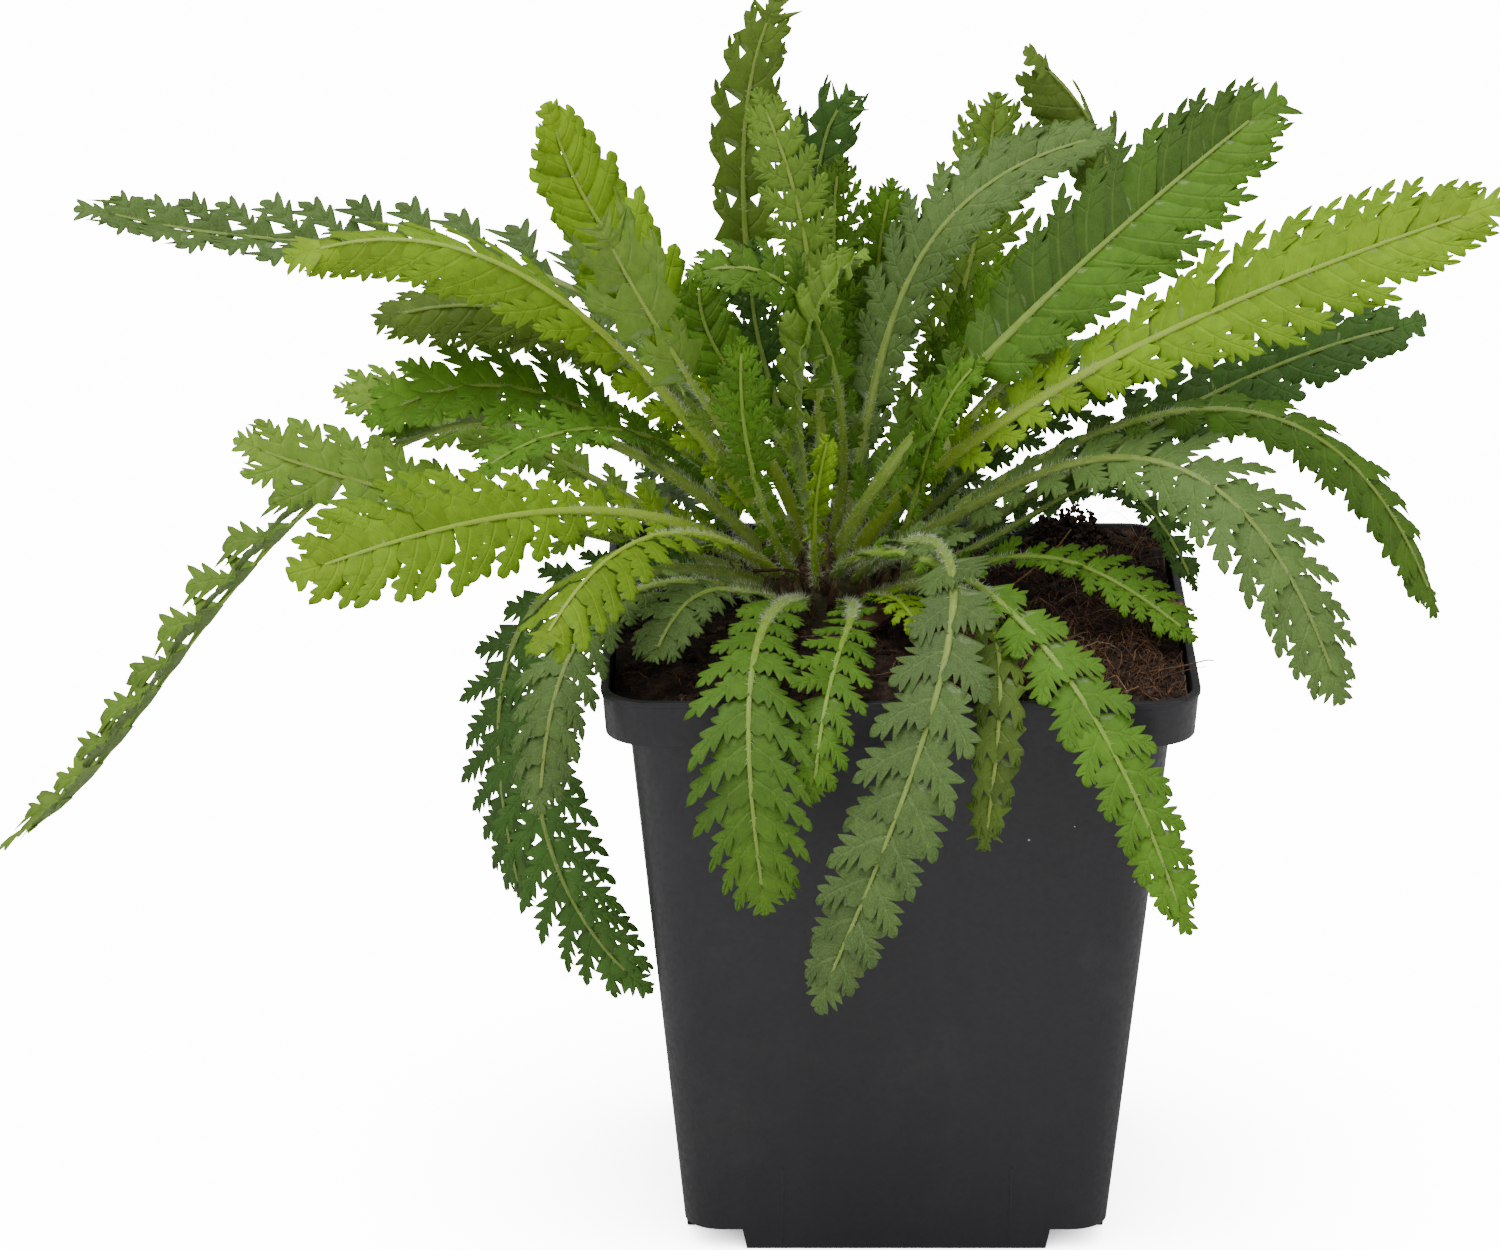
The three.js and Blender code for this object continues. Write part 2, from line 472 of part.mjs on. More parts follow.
// The four corners of the rib at a place, as seen from the foot: upper left, upper right, lower right,
// lower left.
function ribCorners(frond, frame, along) {
  const half = ribHalf(frond, along);
  return [[1, 1], [-1, 1], [-1, -1], [1, -1]].map(([s, u]) =>
    frame.at
      .clone()
      .addScaledVector(frame.side, -s * half)
      .addScaledVector(frame.up, u * half * RIB_FLAT),
  );
}

// The three outer points of a leaflet, on its middle sheet, and the direction that its thickness takes.
function leafletPoints(frond, path, from, to, side, lift, size) {
  const share = (from - frond.blade[2]) / (1 - frond.blade[2]);
  const frame = frameAt(frond, path, (from + to) / 2);
  const pitch = path.getLength() * (to - from);
  const fold = (frond.blade[3] + lift) * DEG;
  const across = frame.side.clone().multiplyScalar(side * Math.cos(fold));
  across.addScaledVector(frame.up, Math.sin(fold));
  const out = across.clone().multiplyScalar(Math.cos(SWEEP)).addScaledVector(frame.run, Math.sin(SWEEP));
  const length = ((frond.blade[0] * spread(share, frond.blade[4])) / Math.cos(SWEEP)) * size;
  const thick = frame.up.clone().multiplyScalar(Math.cos(fold));
  thick.addScaledVector(frame.side, -side * Math.sin(fold)).normalize();
  const start = frame.at.clone().addScaledVector(frame.run, -pitch / 2);
  const point = (reach, forward) =>
    start.clone().addScaledVector(out, length * reach).addScaledVector(frame.run, pitch * forward);
  return { outer: LEAFLET_OUTLINE.map(([reach, forward]) => point(reach, forward)), thick };
}

// The closed skin of a leaflet as upper and lower points from its rear foot to its front foot.
function leafletSkin(rear, front, leaflet, half) {
  const upper = [rear[0]];
  const lower = [rear[1]];
  for (const p of leaflet.outer) {
    upper.push(p.clone().addScaledVector(leaflet.thick, half));
    lower.push(p.clone().addScaledVector(leaflet.thick, -half));
  }
  upper.push(front[0]);
  lower.push(front[1]);
  return { upper, lower };
}

const FAN = [[0, 1, 2], [0, 2, 3], [0, 3, 4]];
function skinTriangles({ upper, lower }) {
  const triangles = [];
  for (const [a, b, c] of FAN) {
    triangles.push([upper[a], upper[b], upper[c]], [lower[a], lower[c], lower[b]]);
  }
  for (let i = 0; i < 4; i++)
    triangles.push([upper[i], lower[i], lower[i + 1]], [upper[i], lower[i + 1], upper[i + 1]]);
  return triangles;
}

// Patches are sets of triangles with a box around them, so that far ones are passed over quickly.
function patchOf(owner, triangles) {
  const box = new THREE.Box3();
  triangles.forEach((t) => t.forEach((p) => box.expandByPoint(p)));
  return { owner, triangles, box };
}

const ray = new THREE.Ray();
const hit = new THREE.Vector3();
const step = new THREE.Vector3();
function edgeCrosses(p, q, triangle) {
  step.subVectors(q, p);
  const length = step.length();
  ray.set(p, step.divideScalar(length));
  if (!ray.intersectTriangle(triangle[0], triangle[1], triangle[2], false, hit)) return false;
  return hit.distanceTo(p) <= length;
}

function trianglesCross(a, b) {
  for (let i = 0; i < 3; i++) {
    if (edgeCrosses(a[i], a[(i + 1) % 3], b)) return true;
    if (edgeCrosses(b[i], b[(i + 1) % 3], a)) return true;
  }
  return false;
}

function patchesCross(a, b) {
  if (!a.box.intersectsBox(b.box)) return false;
  return a.triangles.some((s) => b.triangles.some((t) => trianglesCross(s, t)));
}

function patchesOfGeometry(owner, geometry) {
  const place = geometry.attributes.position;
  const index = geometry.index.array;
  const patches = [];
  for (let i = 0; i < index.length; i += 3)
    patches.push(
      patchOf(owner, [
        [0, 1, 2].map((k) => new THREE.Vector3().fromBufferAttribute(place, index[i + k])),
      ]),
    );
  return patches;
}

// Petiole and rib as a row of cross-sections, with the patches that the leaflets must keep clear of.
function ribOf(frond) {
  const path = pathOf(frond);
  path.arcLengthDivisions = CURVE_STEPS;
  const marks = stations(frond);
  const places = [];
  for (let i = 0; i < PETIOLE_STEPS; i++) places.push((marks[0] * i) / PETIOLE_STEPS);
  places.push(...marks);
  const rows = places.map((along) => ribCorners(frond, frameAt(frond, path, along), along));
  const patches = [];
  for (let i = 0; i + 1 < rows.length; i++) {
    const sides = [];
    for (let k = 0; k < 4; k++) {
      const m = (k + 1) % 4;
      sides.push([rows[i][k], rows[i][m], rows[i + 1][m]], [rows[i][k], rows[i + 1][m], rows[i + 1][k]]);
    }
    patches.push(patchOf(frond.name, sides));
  }
  return { frond, path, marks, rows, patches };
}

// A leaflet is tried flat first, then bent up and down, then smaller, until it clears its neighbours.
function fitLeaflet(rib, k, side, near) {
  const { frond, path, marks, rows } = rib;
  const row = PETIOLE_STEPS + k;
  const [top, bottom] = side < 0 ? [0, 3] : [1, 2];
  const rear = [rows[row][top], rows[row][bottom]];
  const front = [rows[row + 1][top], rows[row + 1][bottom]];
  let last;
  for (const size of SHRINKS)
    for (const lift of LIFTS) {
      const leaflet = leafletPoints(frond, path, marks[k], marks[k + 1], side, lift, size);
      const wide = patchOf(frond.name, skinTriangles(leafletSkin(rear, front, leaflet, SHEET + CLEARANCE)));
      last = leafletSkin(rear, front, leaflet, SHEET);
      if (!near.some((other) => patchesCross(wide, other))) return last;
    }
  return last;
}

// The blade as one closed skin: the rib's upper and lower strips, the leaflets on both sides, the petiole
// and the end of the tip.
function frondGeometry(rib, leaflets) {
  const { frond, path, rows } = rib;
  const points = [];
  const faces = [];
  const corner = rows.map((row) => row.map((p) => points.push(p) - 1));
  faces.push([corner[0][0], corner[0][2], corner[0][1]], [corner[0][0], corner[0][3], corner[0][2]]);
  const strip = (a, b, c, d) => faces.push([a, b, c], [a, c, d]);
  for (let i = 0; i + 1 < rows.length; i++) {
    const a = corner[i];
    const b = corner[i + 1];
    strip(a[0], a[1], b[1], b[0]);
    strip(a[2], a[3], b[3], b[2]);
    if (i < PETIOLE_STEPS) {
      strip(a[1], a[2], b[2], b[1]);
      strip(a[3], a[0], b[0], b[3]);
    }
  }
  leaflets.forEach(({ upper, lower }, n) => {
    const row = PETIOLE_STEPS + (n >> 1);
    const left = n % 2 === 0;
    const [top, bottom] = left ? [0, 3] : [1, 2];
    const up = upper.map((p, i) => {
      if (i === 0) return corner[row][top];
      return i === 4 ? corner[row + 1][top] : points.push(p) - 1;
    });
    const down = lower.map((p, i) => {
      if (i === 0) return corner[row][bottom];
      return i === 4 ? corner[row + 1][bottom] : points.push(p) - 1;
    });
    const own = [];
    for (const [a, b, c] of FAN) own.push([up[a], up[b], up[c]], [down[a], down[c], down[b]]);
    for (let i = 0; i < 4; i++) own.push([up[i], down[i], down[i + 1]], [up[i], down[i + 1], up[i + 1]]);
    own.forEach((f) => faces.push(left ? [f[0], f[2], f[1]] : f));
  });
  const end = frameAt(frond, path, 1);
  const tipUp = points.push(end.at.clone().addScaledVector(end.up, SHEET)) - 1;
  const tipDown = points.push(end.at.clone().addScaledVector(end.up, -SHEET)) - 1;
  const last = corner[rows.length - 1];
  faces.push([last[0], last[1], tipUp], [last[2], last[3], tipDown]);
  strip(last[1], last[2], tipDown, tipUp);
  strip(last[3], last[0], tipUp, tipDown);
  return geometryOf(points, faces);
}

// Pot, soil and crown.
const pot = geometryFromSolid(makePot());
addMesh("pot", pot, POT_FINISH);
const hole = makeCrown(GAP);
const soil = geometryFromSolid(makeSoil(solidFrom(hole.points, hole.faces)));
addMesh("soil", soil, SOIL_FINISH);
const stump = makeCrown(0);
const crown = geometryOf(stump.points, stump.faces);
addMesh("crown", crown, CROWN_FINISH);

// The fronds: first every rib, then the leaflets, each of which clears all that is there already.
const placed = [
  ...patchesOfGeometry("pot", pot),
  ...patchesOfGeometry("soil", soil),
  ...patchesOfGeometry("crown", crown),
];
const ribs = FRONDS.map(ribOf);
ribs.forEach((rib) => placed.push(...rib.patches));
for (const rib of ribs) {
  const leaflets = [];
  const others = placed.filter((patch) => patch.owner !== rib.frond.name);
  for (let k = 0; k + 1 < rib.marks.length; k++)
    for (const side of [-1, 1]) leaflets.push(fitLeaflet(rib, k, side, others));
  leaflets.forEach((skin) => placed.push(patchOf(rib.frond.name, skinTriangles(skin))));
  const finish = { colour: TONES[rib.frond.tone], roughness: LEAF_ROUGHNESS };
  addMesh(rib.frond.name, frondGeometry(rib, leaflets), finish);
}

export default group;
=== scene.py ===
import bisect
import math
import random

import bpy
import numpy as np
from mathutils import Matrix, Vector, kdtree, noise


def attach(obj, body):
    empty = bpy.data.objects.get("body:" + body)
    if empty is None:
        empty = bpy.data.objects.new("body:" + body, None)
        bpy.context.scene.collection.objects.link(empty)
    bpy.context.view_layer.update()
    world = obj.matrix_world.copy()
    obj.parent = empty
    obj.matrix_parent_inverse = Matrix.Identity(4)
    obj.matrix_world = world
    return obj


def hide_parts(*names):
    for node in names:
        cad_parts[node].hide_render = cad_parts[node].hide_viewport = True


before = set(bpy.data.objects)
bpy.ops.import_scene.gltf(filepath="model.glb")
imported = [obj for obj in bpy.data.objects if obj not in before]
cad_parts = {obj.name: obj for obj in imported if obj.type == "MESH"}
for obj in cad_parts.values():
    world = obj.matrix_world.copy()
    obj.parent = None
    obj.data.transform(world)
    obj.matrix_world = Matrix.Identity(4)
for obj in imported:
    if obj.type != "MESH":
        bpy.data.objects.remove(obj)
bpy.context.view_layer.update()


# The camera stands at the height from which the photograph was taken, in front of the pot's flat front
# face. It comes with the floor of pale board and the soft lamps of a small studio.
MM = 0.001
CAMERA_AT = Vector((-27.6, -1311.2, 541.5)) * MM
CAMERA_TILT = math.radians(71.82)
CAMERA_LENS = 175.1
CAMERA_FILM = 36.0

camera_data = bpy.data.cameras.new("camera")
camera_data.lens = CAMERA_LENS
camera_data.sensor_width = CAMERA_FILM
camera_data.sensor_fit = "HORIZONTAL"
camera_data.clip_start = 0.01
camera = bpy.data.objects.new("camera", camera_data)
camera.location = CAMERA_AT
camera.rotation_euler = (CAMERA_TILT, 0, 0)
bpy.context.scene.collection.objects.link(camera)
bpy.context.scene.camera = camera


def lamp(name, at, toward, size, power, tint=(1, 1, 1)):
    light = bpy.data.lights.new(name, "AREA")
    light.shape = "RECTANGLE"
    light.size = size[0]
    light.size_y = size[1]
    light.energy = power
    light.color = tint
    holder = bpy.data.objects.new(name, light)
    holder.location = at
    holder.rotation_euler = (Vector(toward) - Vector(at)).to_track_quat("-Z", "Y").to_euler()
    bpy.context.scene.collection.objects.link(holder)


MIDDLE = (-0.02, 0, 0.12)
lamp("top_lamp", (-0.15, -0.25, 1.4), MIDDLE, (1.0, 1.0), 15)
lamp("left_lamp", (-1.1, -0.9, 0.75), MIDDLE, (0.7, 1.2), 6)
lamp("right_lamp", (1.2, -0.8, 0.7), MIDDLE, (0.7, 1.2), 5)
lamp("front_lamp", (0, -1.7, 0.8), MIDDLE, (1.4, 0.5), 4)

# The white room: it shines brighter at the camera than on the plant, as an overexposed paper backdrop.
WHITE = 14
world = bpy.data.worlds.new("studio")
world.use_nodes = True
world_nodes, world_links = world.node_tree.nodes, world.node_tree.links
world_nodes["Background"].inputs["Color"].default_value = (1, 1, 1, 1)
seen = world_nodes.new("ShaderNodeLightPath")
room_light = world_nodes.new("ShaderNodeMapRange")
room_light.inputs["To Min"].default_value = 0.34
room_light.inputs["To Max"].default_value = WHITE
world_links.new(seen.outputs["Is Camera Ray"], room_light.inputs["Value"])
world_links.new(room_light.outputs["Result"], world_nodes["Background"].inputs["Strength"])
bpy.context.scene.world = world

bpy.ops.object.select_all(action="DESELECT")
bpy.ops.mesh.primitive_plane_add(size=8, location=(0, 0, 0))
floor = bpy.context.active_object
floor.name = "floor"
floor_paint = bpy.data.materials.new("floor_paint")
floor_paint.use_nodes = True
floor_look = floor_paint.node_tree.nodes["Principled BSDF"]
floor_look.inputs["Base Color"].default_value = (0.8, 0.8, 0.8, 1)
floor_look.inputs["Roughness"].default_value = 0.9
floor_nodes, floor_links = floor_paint.node_tree.nodes, floor_paint.node_tree.links
# For the camera the floor glows white, and the glow takes the colour of ambient occlusion: a painted contact
# shadow, darker close to the pot.
painted_contact_shadow = floor_nodes.new("ShaderNodeAmbientOcclusion")
painted_contact_shadow.samples = 8
painted_contact_shadow.inputs["Distance"].default_value = 0.07
seen = floor_nodes.new("ShaderNodeLightPath")
glow = floor_nodes.new("ShaderNodeMath")
glow.operation = "MULTIPLY"
glow.inputs[1].default_value = WHITE
floor_links.new(seen.outputs["Is Camera Ray"], glow.inputs[0])
floor_links.new(painted_contact_shadow.outputs["Color"], floor_look.inputs["Emission Color"])
floor_links.new(glow.outputs[0], floor_look.inputs["Emission Strength"])
floor.data.materials.append(floor_paint)


# The pot is one thin injection-moulded shell of black plastic: a tapered square body with rounded edges,
# a widened band with a thin lip at the rim, and a flat foot between four raised corners with drain holes.
RIM_HALF = 55
RIM_Z = 114
LIP_STEP = 0.3
LIP_CHAMFER = 0.1
LIP_H = 1.0
BAND_H = 9.2
BAND_TAPER = 0.6
BAND_ROUND = 0.4
BAND_Z = RIM_Z - BAND_H
BODY_TOP_HALF = 49.8
BODY_BASE_HALF = 39.5
POT_CORNER = 7.0
POT_CORNER_FACETS = 9
WALL = 1.15
FOOT_H = 4
FOOT_HALF = 29
FOOT_SLANT = 1.2
DRAIN_R = 3
DRAIN_AT = 34
DRAIN_FACETS = 24
DRAIN_DEPTH = 6


def rounded_stack(name, corner, levels):
    """A closed square body with rounded edges, drawn upwards through levels of half width and height."""
    half, height = levels[0]
    bpy.ops.object.select_all(action="DESELECT")
    bpy.ops.mesh.primitive_plane_add(size=2 * half * MM, location=(0, 0, height * MM))
    body = bpy.context.active_object
    body.name = name
    bpy.ops.object.transform_apply(location=True, rotation=False, scale=False)
    bpy.ops.object.mode_set(mode="EDIT")
    bpy.ops.mesh.select_all(action="SELECT")
    bpy.ops.mesh.bevel(offset=corner * MM, segments=POT_CORNER_FACETS, affect="VERTICES")
    bpy.ops.mesh.select_all(action="SELECT")
    for next_half, next_height in levels[1:]:
        lift = (0, 0, (next_height - height) * MM)
        bpy.ops.mesh.extrude_region_move(TRANSFORM_OT_translate={"value": lift})
        grow = next_half / half
        bpy.ops.transform.resize(value=(grow, grow, 1), center_override=(0, 0, next_height * MM))
        half, height = next_half, next_height
    bpy.ops.mesh.select_all(action="SELECT")
    bpy.ops.mesh.normals_make_consistent(inside=False)
    bpy.ops.object.mode_set(mode="OBJECT")
    return body


def take_up(piece):
    """Selects this piece alone, for the next step of work on it."""
    bpy.ops.object.select_all(action="DESELECT")
    bpy.context.view_layer.objects.active = piece
    piece.select_set(True)


def cut_away(body, tool):
    take_up(body)
    step = body.modifiers.new("cut", "BOOLEAN")
    step.operation = "DIFFERENCE"
    step.solver = "EXACT"
    step.object = tool
    bpy.ops.object.modifier_apply(modifier=step.name)
    bpy.data.objects.remove(tool)


def cut_corners(body, inner, top):
    """Frees the four raised corners of the base with blocks whose inner sides slant."""
    low = -2
    for x_side in (-1, 1):
        for y_side in (-1, 1):
            bpy.ops.object.select_all(action="DESELECT")
            bpy.ops.mesh.primitive_cube_add(size=1)
            block = bpy.context.active_object
            for corner in block.data.vertices:
                near = inner if corner.co.z > 0 else inner - FOOT_SLANT
                x = near if corner.co.x < 0 else RIM_HALF
                y = near if corner.co.y < 0 else RIM_HALF
                z = top if corner.co.z > 0 else low
                corner.co = Vector((x * x_side, y * y_side, z)) * MM
            bpy.ops.object.mode_set(mode="EDIT")
            bpy.ops.mesh.select_all(action="SELECT")
            bpy.ops.mesh.normals_make_consistent(inside=False)
            bpy.ops.object.mode_set(mode="OBJECT")
            cut_away(body, block)


def soften(piece, width, facets, angle):
    """Rounds the sharp edges of a piece by a small bevel and shades it smooth."""
    take_up(piece)
    step = piece.modifiers.new("edges", "BEVEL")
    step.width = width * MM
    step.segments = facets
    step.limit_method = "ANGLE"
    step.angle_limit = math.radians(angle)
    bpy.ops.object.modifier_apply(modifier=step.name)
    bpy.ops.object.shade_smooth_by_angle(angle=math.radians(angle))


def half_at(height):
    return BODY_BASE_HALF + (BODY_TOP_HALF - BODY_BASE_HALF) * height / BAND_Z


band_half = RIM_HALF - LIP_STEP
pot = rounded_stack("nursery_pot", POT_CORNER, [
    (BODY_BASE_HALF, 0),
    (BODY_TOP_HALF, BAND_Z),
    (band_half - BAND_TAPER, BAND_Z + BAND_ROUND),
    (band_half, RIM_Z - LIP_H - LIP_CHAMFER),
    (RIM_HALF, RIM_Z - LIP_H),
    (RIM_HALF, RIM_Z),
])
pot_room = rounded_stack("pot_room", POT_CORNER - WALL, [
    (half_at(WALL) - WALL, WALL),
    (BODY_TOP_HALF - WALL, BAND_Z + WALL),
    (band_half - BAND_TAPER - WALL, BAND_Z + WALL + BAND_ROUND),
    (band_half - WALL, RIM_Z + 1),
])
cut_corners(pot, FOOT_HALF, FOOT_H)
cut_corners(pot_room, FOOT_HALF - WALL, FOOT_H + WALL)
cut_away(pot, pot_room)
for drain_x in (-DRAIN_AT, DRAIN_AT):
    for drain_y in (-DRAIN_AT, DRAIN_AT):
        bpy.ops.object.select_all(action="DESELECT")
        bpy.ops.mesh.primitive_cylinder_add(
            vertices=DRAIN_FACETS, radius=DRAIN_R * MM, depth=DRAIN_DEPTH * MM,
            location=(drain_x * MM, drain_y * MM, (FOOT_H + WALL / 2) * MM))
        cut_away(pot, bpy.context.active_object)
soften(pot, width=0.3, facets=2, angle=34)

# The mould's core leaves two faint upright ridges low on each side.
RIDGE_AT = 21.5
RIDGE_FOOT = 1.2
RIDGE_TOP = 17
RIDGE_HALF = 0.22
RIDGE_PROUD = 0.07
RIDGE_SUNK = 0.3
ridge_parts = []
for side_turn in range(4):
    for ridge_x in (-RIDGE_AT, RIDGE_AT):
        bpy.ops.object.select_all(action="DESELECT")
        bpy.ops.mesh.primitive_cube_add(size=1)
        ridge = bpy.context.active_object
        for corner in ridge.data.vertices:
            z = RIDGE_TOP if corner.co.z > 0 else RIDGE_FOOT
            y = -half_at(z) + (RIDGE_SUNK if corner.co.y > 0 else -RIDGE_PROUD)
            side = 1 if corner.co.x > 0 else -1
            across = (ridge_x + side * RIDGE_HALF, y)
            turned = Matrix.Rotation(side_turn * math.pi / 2, 2) @ Vector(across)
            corner.co = Vector((turned.x, turned.y, z)) * MM
        ridge_parts.append(ridge)
for ridge in ridge_parts:
    ridge.select_set(True)
bpy.context.view_layer.objects.active = ridge_parts[0]
bpy.ops.object.join()
ridges = bpy.context.active_object
ridges.name = "mould_ridges"


def new_material(name):
    """A new material with its tree of nodes and its shader."""
    material = bpy.data.materials.new(name)
    material.use_nodes = True
    return material, material.node_tree, material.node_tree.nodes["Principled BSDF"]


def set_sockets(node, values):
    for key, value in values.items():
        node.inputs[key].default_value = value


def new_group(name, takes, gives):
    """A shader node group with named inputs and outputs, its two end nodes and a way to add nodes."""
    group = bpy.data.node_groups.new(name, "ShaderNodeTree")
    for label, kind, value in takes:
        socket = group.interface.new_socket(label, in_out="INPUT", socket_type=kind)
        socket.default_value = value
    for label, kind in gives:
        group.interface.new_socket(label, in_out="OUTPUT", socket_type=kind)
    start = group.nodes.new("NodeGroupInput")
    end = group.nodes.new("NodeGroupOutput")
    return group, start, end


def put(tree, kind, values=None, links=None, **settings):
    """Adds a node, sets its properties and its sockets, and joins its inputs to other nodes' outputs."""
    node = tree.nodes.new(kind)
    for key, value in settings.items():
        setattr(node, key, value)
    set_sockets(node, values or {})
    for key, source in (links or {}).items():
        tree.links.new(source, node.inputs[key])
    return node


def blend_colours(tree, share, first, second, mode="MIX"):
    """Mixes two colours. Each of them, and the share, is either a value or another node's output."""
    node = tree.nodes.new("ShaderNodeMix")
    node.data_type = "RGBA"
    node.blend_type = mode
    for socket, value in ((0, share), (6, first), (7, second)):
        if isinstance(value, bpy.types.NodeSocket):
            tree.links.new(value, node.inputs[socket])
        else:
            node.inputs[socket].default_value = value
    return node.outputs[2]


def ramp_between(tree, value, low, high, to_low=0.0, to_high=1.0, smooth=True):
    """Stretches a value between two limits to another pair of limits."""
    node = put(tree, "ShaderNodeMapRange", {1: low, 2: high, 3: to_low, 4: to_high}, {0: value})
    node.interpolation_type = "SMOOTHSTEP" if smooth else "LINEAR"
    return node.outputs[0]


def calc(tree, how, first, second=0.0):
    node = tree.nodes.new("ShaderNodeMath")
    node.operation = how
    for socket, value in ((0, first), (1, second)):
        if isinstance(value, bpy.types.NodeSocket):
            tree.links.new(value, node.inputs[socket])
        else:
            node.inputs[socket].default_value = value
    return node.outputs[0]


# The dust that lies on moulded plastic: sparse pale specks and a thin, uneven film.
dust, dust_in, dust_out = new_group(
    "dust", [("Base", "NodeSocketColor", (0, 0, 0, 1)), ("Speck Colour", "NodeSocketColor", (1, 1, 1, 1)),
             ("Amount", "NodeSocketFloat", 0.5)],
    [("Color", "NodeSocketColor"), ("Mask", "NodeSocketFloat")])
place = put(dust, "ShaderNodeTexCoord").outputs["Object"]
cells = put(dust, "ShaderNodeTexVoronoi", {"Scale": 260, "Randomness": 1}, {"Vector": place})
size_noise = put(dust, "ShaderNodeTexNoise", {"Scale": 130, "Detail": 2}, {"Vector": place})
speck_size = ramp_between(dust, size_noise.outputs["Fac"], 0.56, 0.72, 0.0, 0.11)
speck = calc(dust, "LESS_THAN", cells.outputs["Distance"], speck_size)
film_noise = put(dust, "ShaderNodeTexNoise", {"Scale": 38, "Detail": 6, "Roughness": 0.7}, {"Vector": place})
film = ramp_between(dust, film_noise.outputs["Fac"], 0.5, 0.8, 0.0, 0.02)
speck_mask = calc(dust, "MULTIPLY", speck, dust_in.outputs["Amount"])
dust_mask = calc(dust, "MAXIMUM", speck_mask, film)
dust.links.new(dust_mask, dust_out.inputs["Mask"])
dusted = blend_colours(dust, dust_mask, dust_in.outputs["Base"], dust_in.outputs["Speck Colour"])
dust.links.new(dusted, dust_out.inputs["Color"])

pot_plastic, tree, look = new_material("pot_plastic")
place = put(tree, "ShaderNodeTexCoord").outputs["Object"]
streak_place = put(tree, "ShaderNodeMapping", {"Scale": (60, 60, 4)}, {"Vector": place})
streaks = put(tree, "ShaderNodeTexNoise", {"Scale": 1, "Detail": 3}, {"Vector": streak_place.outputs[0]})
streak_tone = ramp_between(tree, streaks.outputs["Fac"], 0.3, 0.7)
plastic = blend_colours(tree, streak_tone, (0.0085, 0.0079, 0.0105, 1), (0.0125, 0.0117, 0.015, 1))
dusty = put(tree, "ShaderNodeGroup", node_tree=dust)
set_sockets(dusty, {"Speck Colour": (0.55, 0.52, 0.5, 1), "Amount": 0.75})
tree.links.new(plastic, dusty.inputs["Base"])
tree.links.new(dusty.outputs["Color"], look.inputs["Base Color"])
grain = put(tree, "ShaderNodeTexNoise", {"Scale": 900, "Detail": 3}, {"Vector": place})
rough = ramp_between(tree, grain.outputs["Fac"], 0.3, 0.7, 0.36, 0.5)
tree.links.new(rough, look.inputs["Roughness"])
bump = put(tree, "ShaderNodeBump", {"Strength": 0.25, "Distance": 0.0001}, {"Height": grain.outputs["Fac"]})
tree.links.new(bump.outputs["Normal"], look.inputs["Normal"])
pot.data.materials.append(pot_plastic)
ridges.data.materials.append(pot_plastic)
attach(ridges, "root")
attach(pot, "root")
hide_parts("pot")


# The soil is moist dark peat with coir: one body that fills the pot, uneven on top, a little higher on the
# right, with loose crumbs and short fibres lying on it.
GAP = 0.3
SOIL_Z = 110.4
SOIL_RISE = 2.6
SOIL_BUMP = 0.9
SOIL_SQUARES = 120
SOIL_CORNER = 7.6
SOIL_SHOULDER = 1.4
SOIL_EDGE = 51
COIR_EDGE = 52.2
CROWN_CLEAR = 13
CROWN = Vector((-14, 16, 110))


def smoothstep(value, low, high):
    share = min(1.0, max(0.0, (value - low) / (high - low)))
    return share * share * (3 - 2 * share)


def soil_level(x, y):
    slope = smoothstep(x, 0, 52) * SOIL_RISE
    waves = math.sin(x * 0.31 + 1.3) * math.cos(y * 0.27) + 0.6 * math.sin(x * 0.11 - y * 0.43)
    return SOIL_Z + slope + SOIL_BUMP * waves


def soil_top(x, y):
    """The level with its crumbs and dents, lower along the front on the left."""
    spot = Vector((x, y, 0))
    lumps = noise.fractal(spot * 0.22, 0.9, 2.1, 5)
    pits = abs(noise.noise(spot * 0.75 + Vector((7, 3, 1))))
    dip = smoothstep(-y, 20, 50) * smoothstep(-x, -10, 30)
    return soil_level(x, y) + 1.3 * lumps - 1.1 * pits - 1.2 * dip


def onto_rounded_square(x, y, half, radius):
    """Draws the corners of a square in onto a round corner."""
    over_x, over_y = abs(x) - (half - radius), abs(y) - (half - radius)
    if over_x <= 0 or over_y <= 0:
        return x, y
    draw = max(over_x, over_y) / math.hypot(over_x, over_y)
    new_x = (half - radius + over_x * draw) * math.copysign(1, x)
    new_y = (half - radius + over_y * draw) * math.copysign(1, y)
    return new_x, new_y


soil_half = band_half - BAND_TAPER - WALL - GAP
bpy.ops.object.select_all(action="DESELECT")
bpy.ops.mesh.primitive_grid_add(
    x_subdivisions=SOIL_SQUARES, y_subdivisions=SOIL_SQUARES, size=2 * soil_half * MM)
soil = bpy.context.active_object
soil.name = "peat"
for spot in soil.data.vertices:
    x, y = onto_rounded_square(spot.co.x / MM, spot.co.y / MM, soil_half, SOIL_CORNER)
    spot.co = Vector((x, y, soil_top(x, y))) * MM
bpy.ops.object.mode_set(mode="EDIT")
bpy.ops.mesh.select_all(action="DESELECT")
bpy.ops.mesh.select_mode(type="EDGE")
bpy.ops.mesh.select_non_manifold()
soil_floor = BAND_Z + WALL + 1
bpy.ops.mesh.extrude_region_move(TRANSFORM_OT_translate={"value": (0, 0, 0)})
bpy.ops.transform.resize(value=(1, 1, 0), center_override=(0, 0, soil_floor * MM))
bpy.ops.mesh.extrude_region_move(TRANSFORM_OT_translate={"value": (0, 0, -SOIL_SHOULDER * MM)})
shrink = (BODY_TOP_HALF - WALL - 2 * GAP) / soil_half
bpy.ops.transform.resize(value=(shrink, shrink, 1), center_override=(0, 0, (soil_floor - SOIL_SHOULDER) * MM))
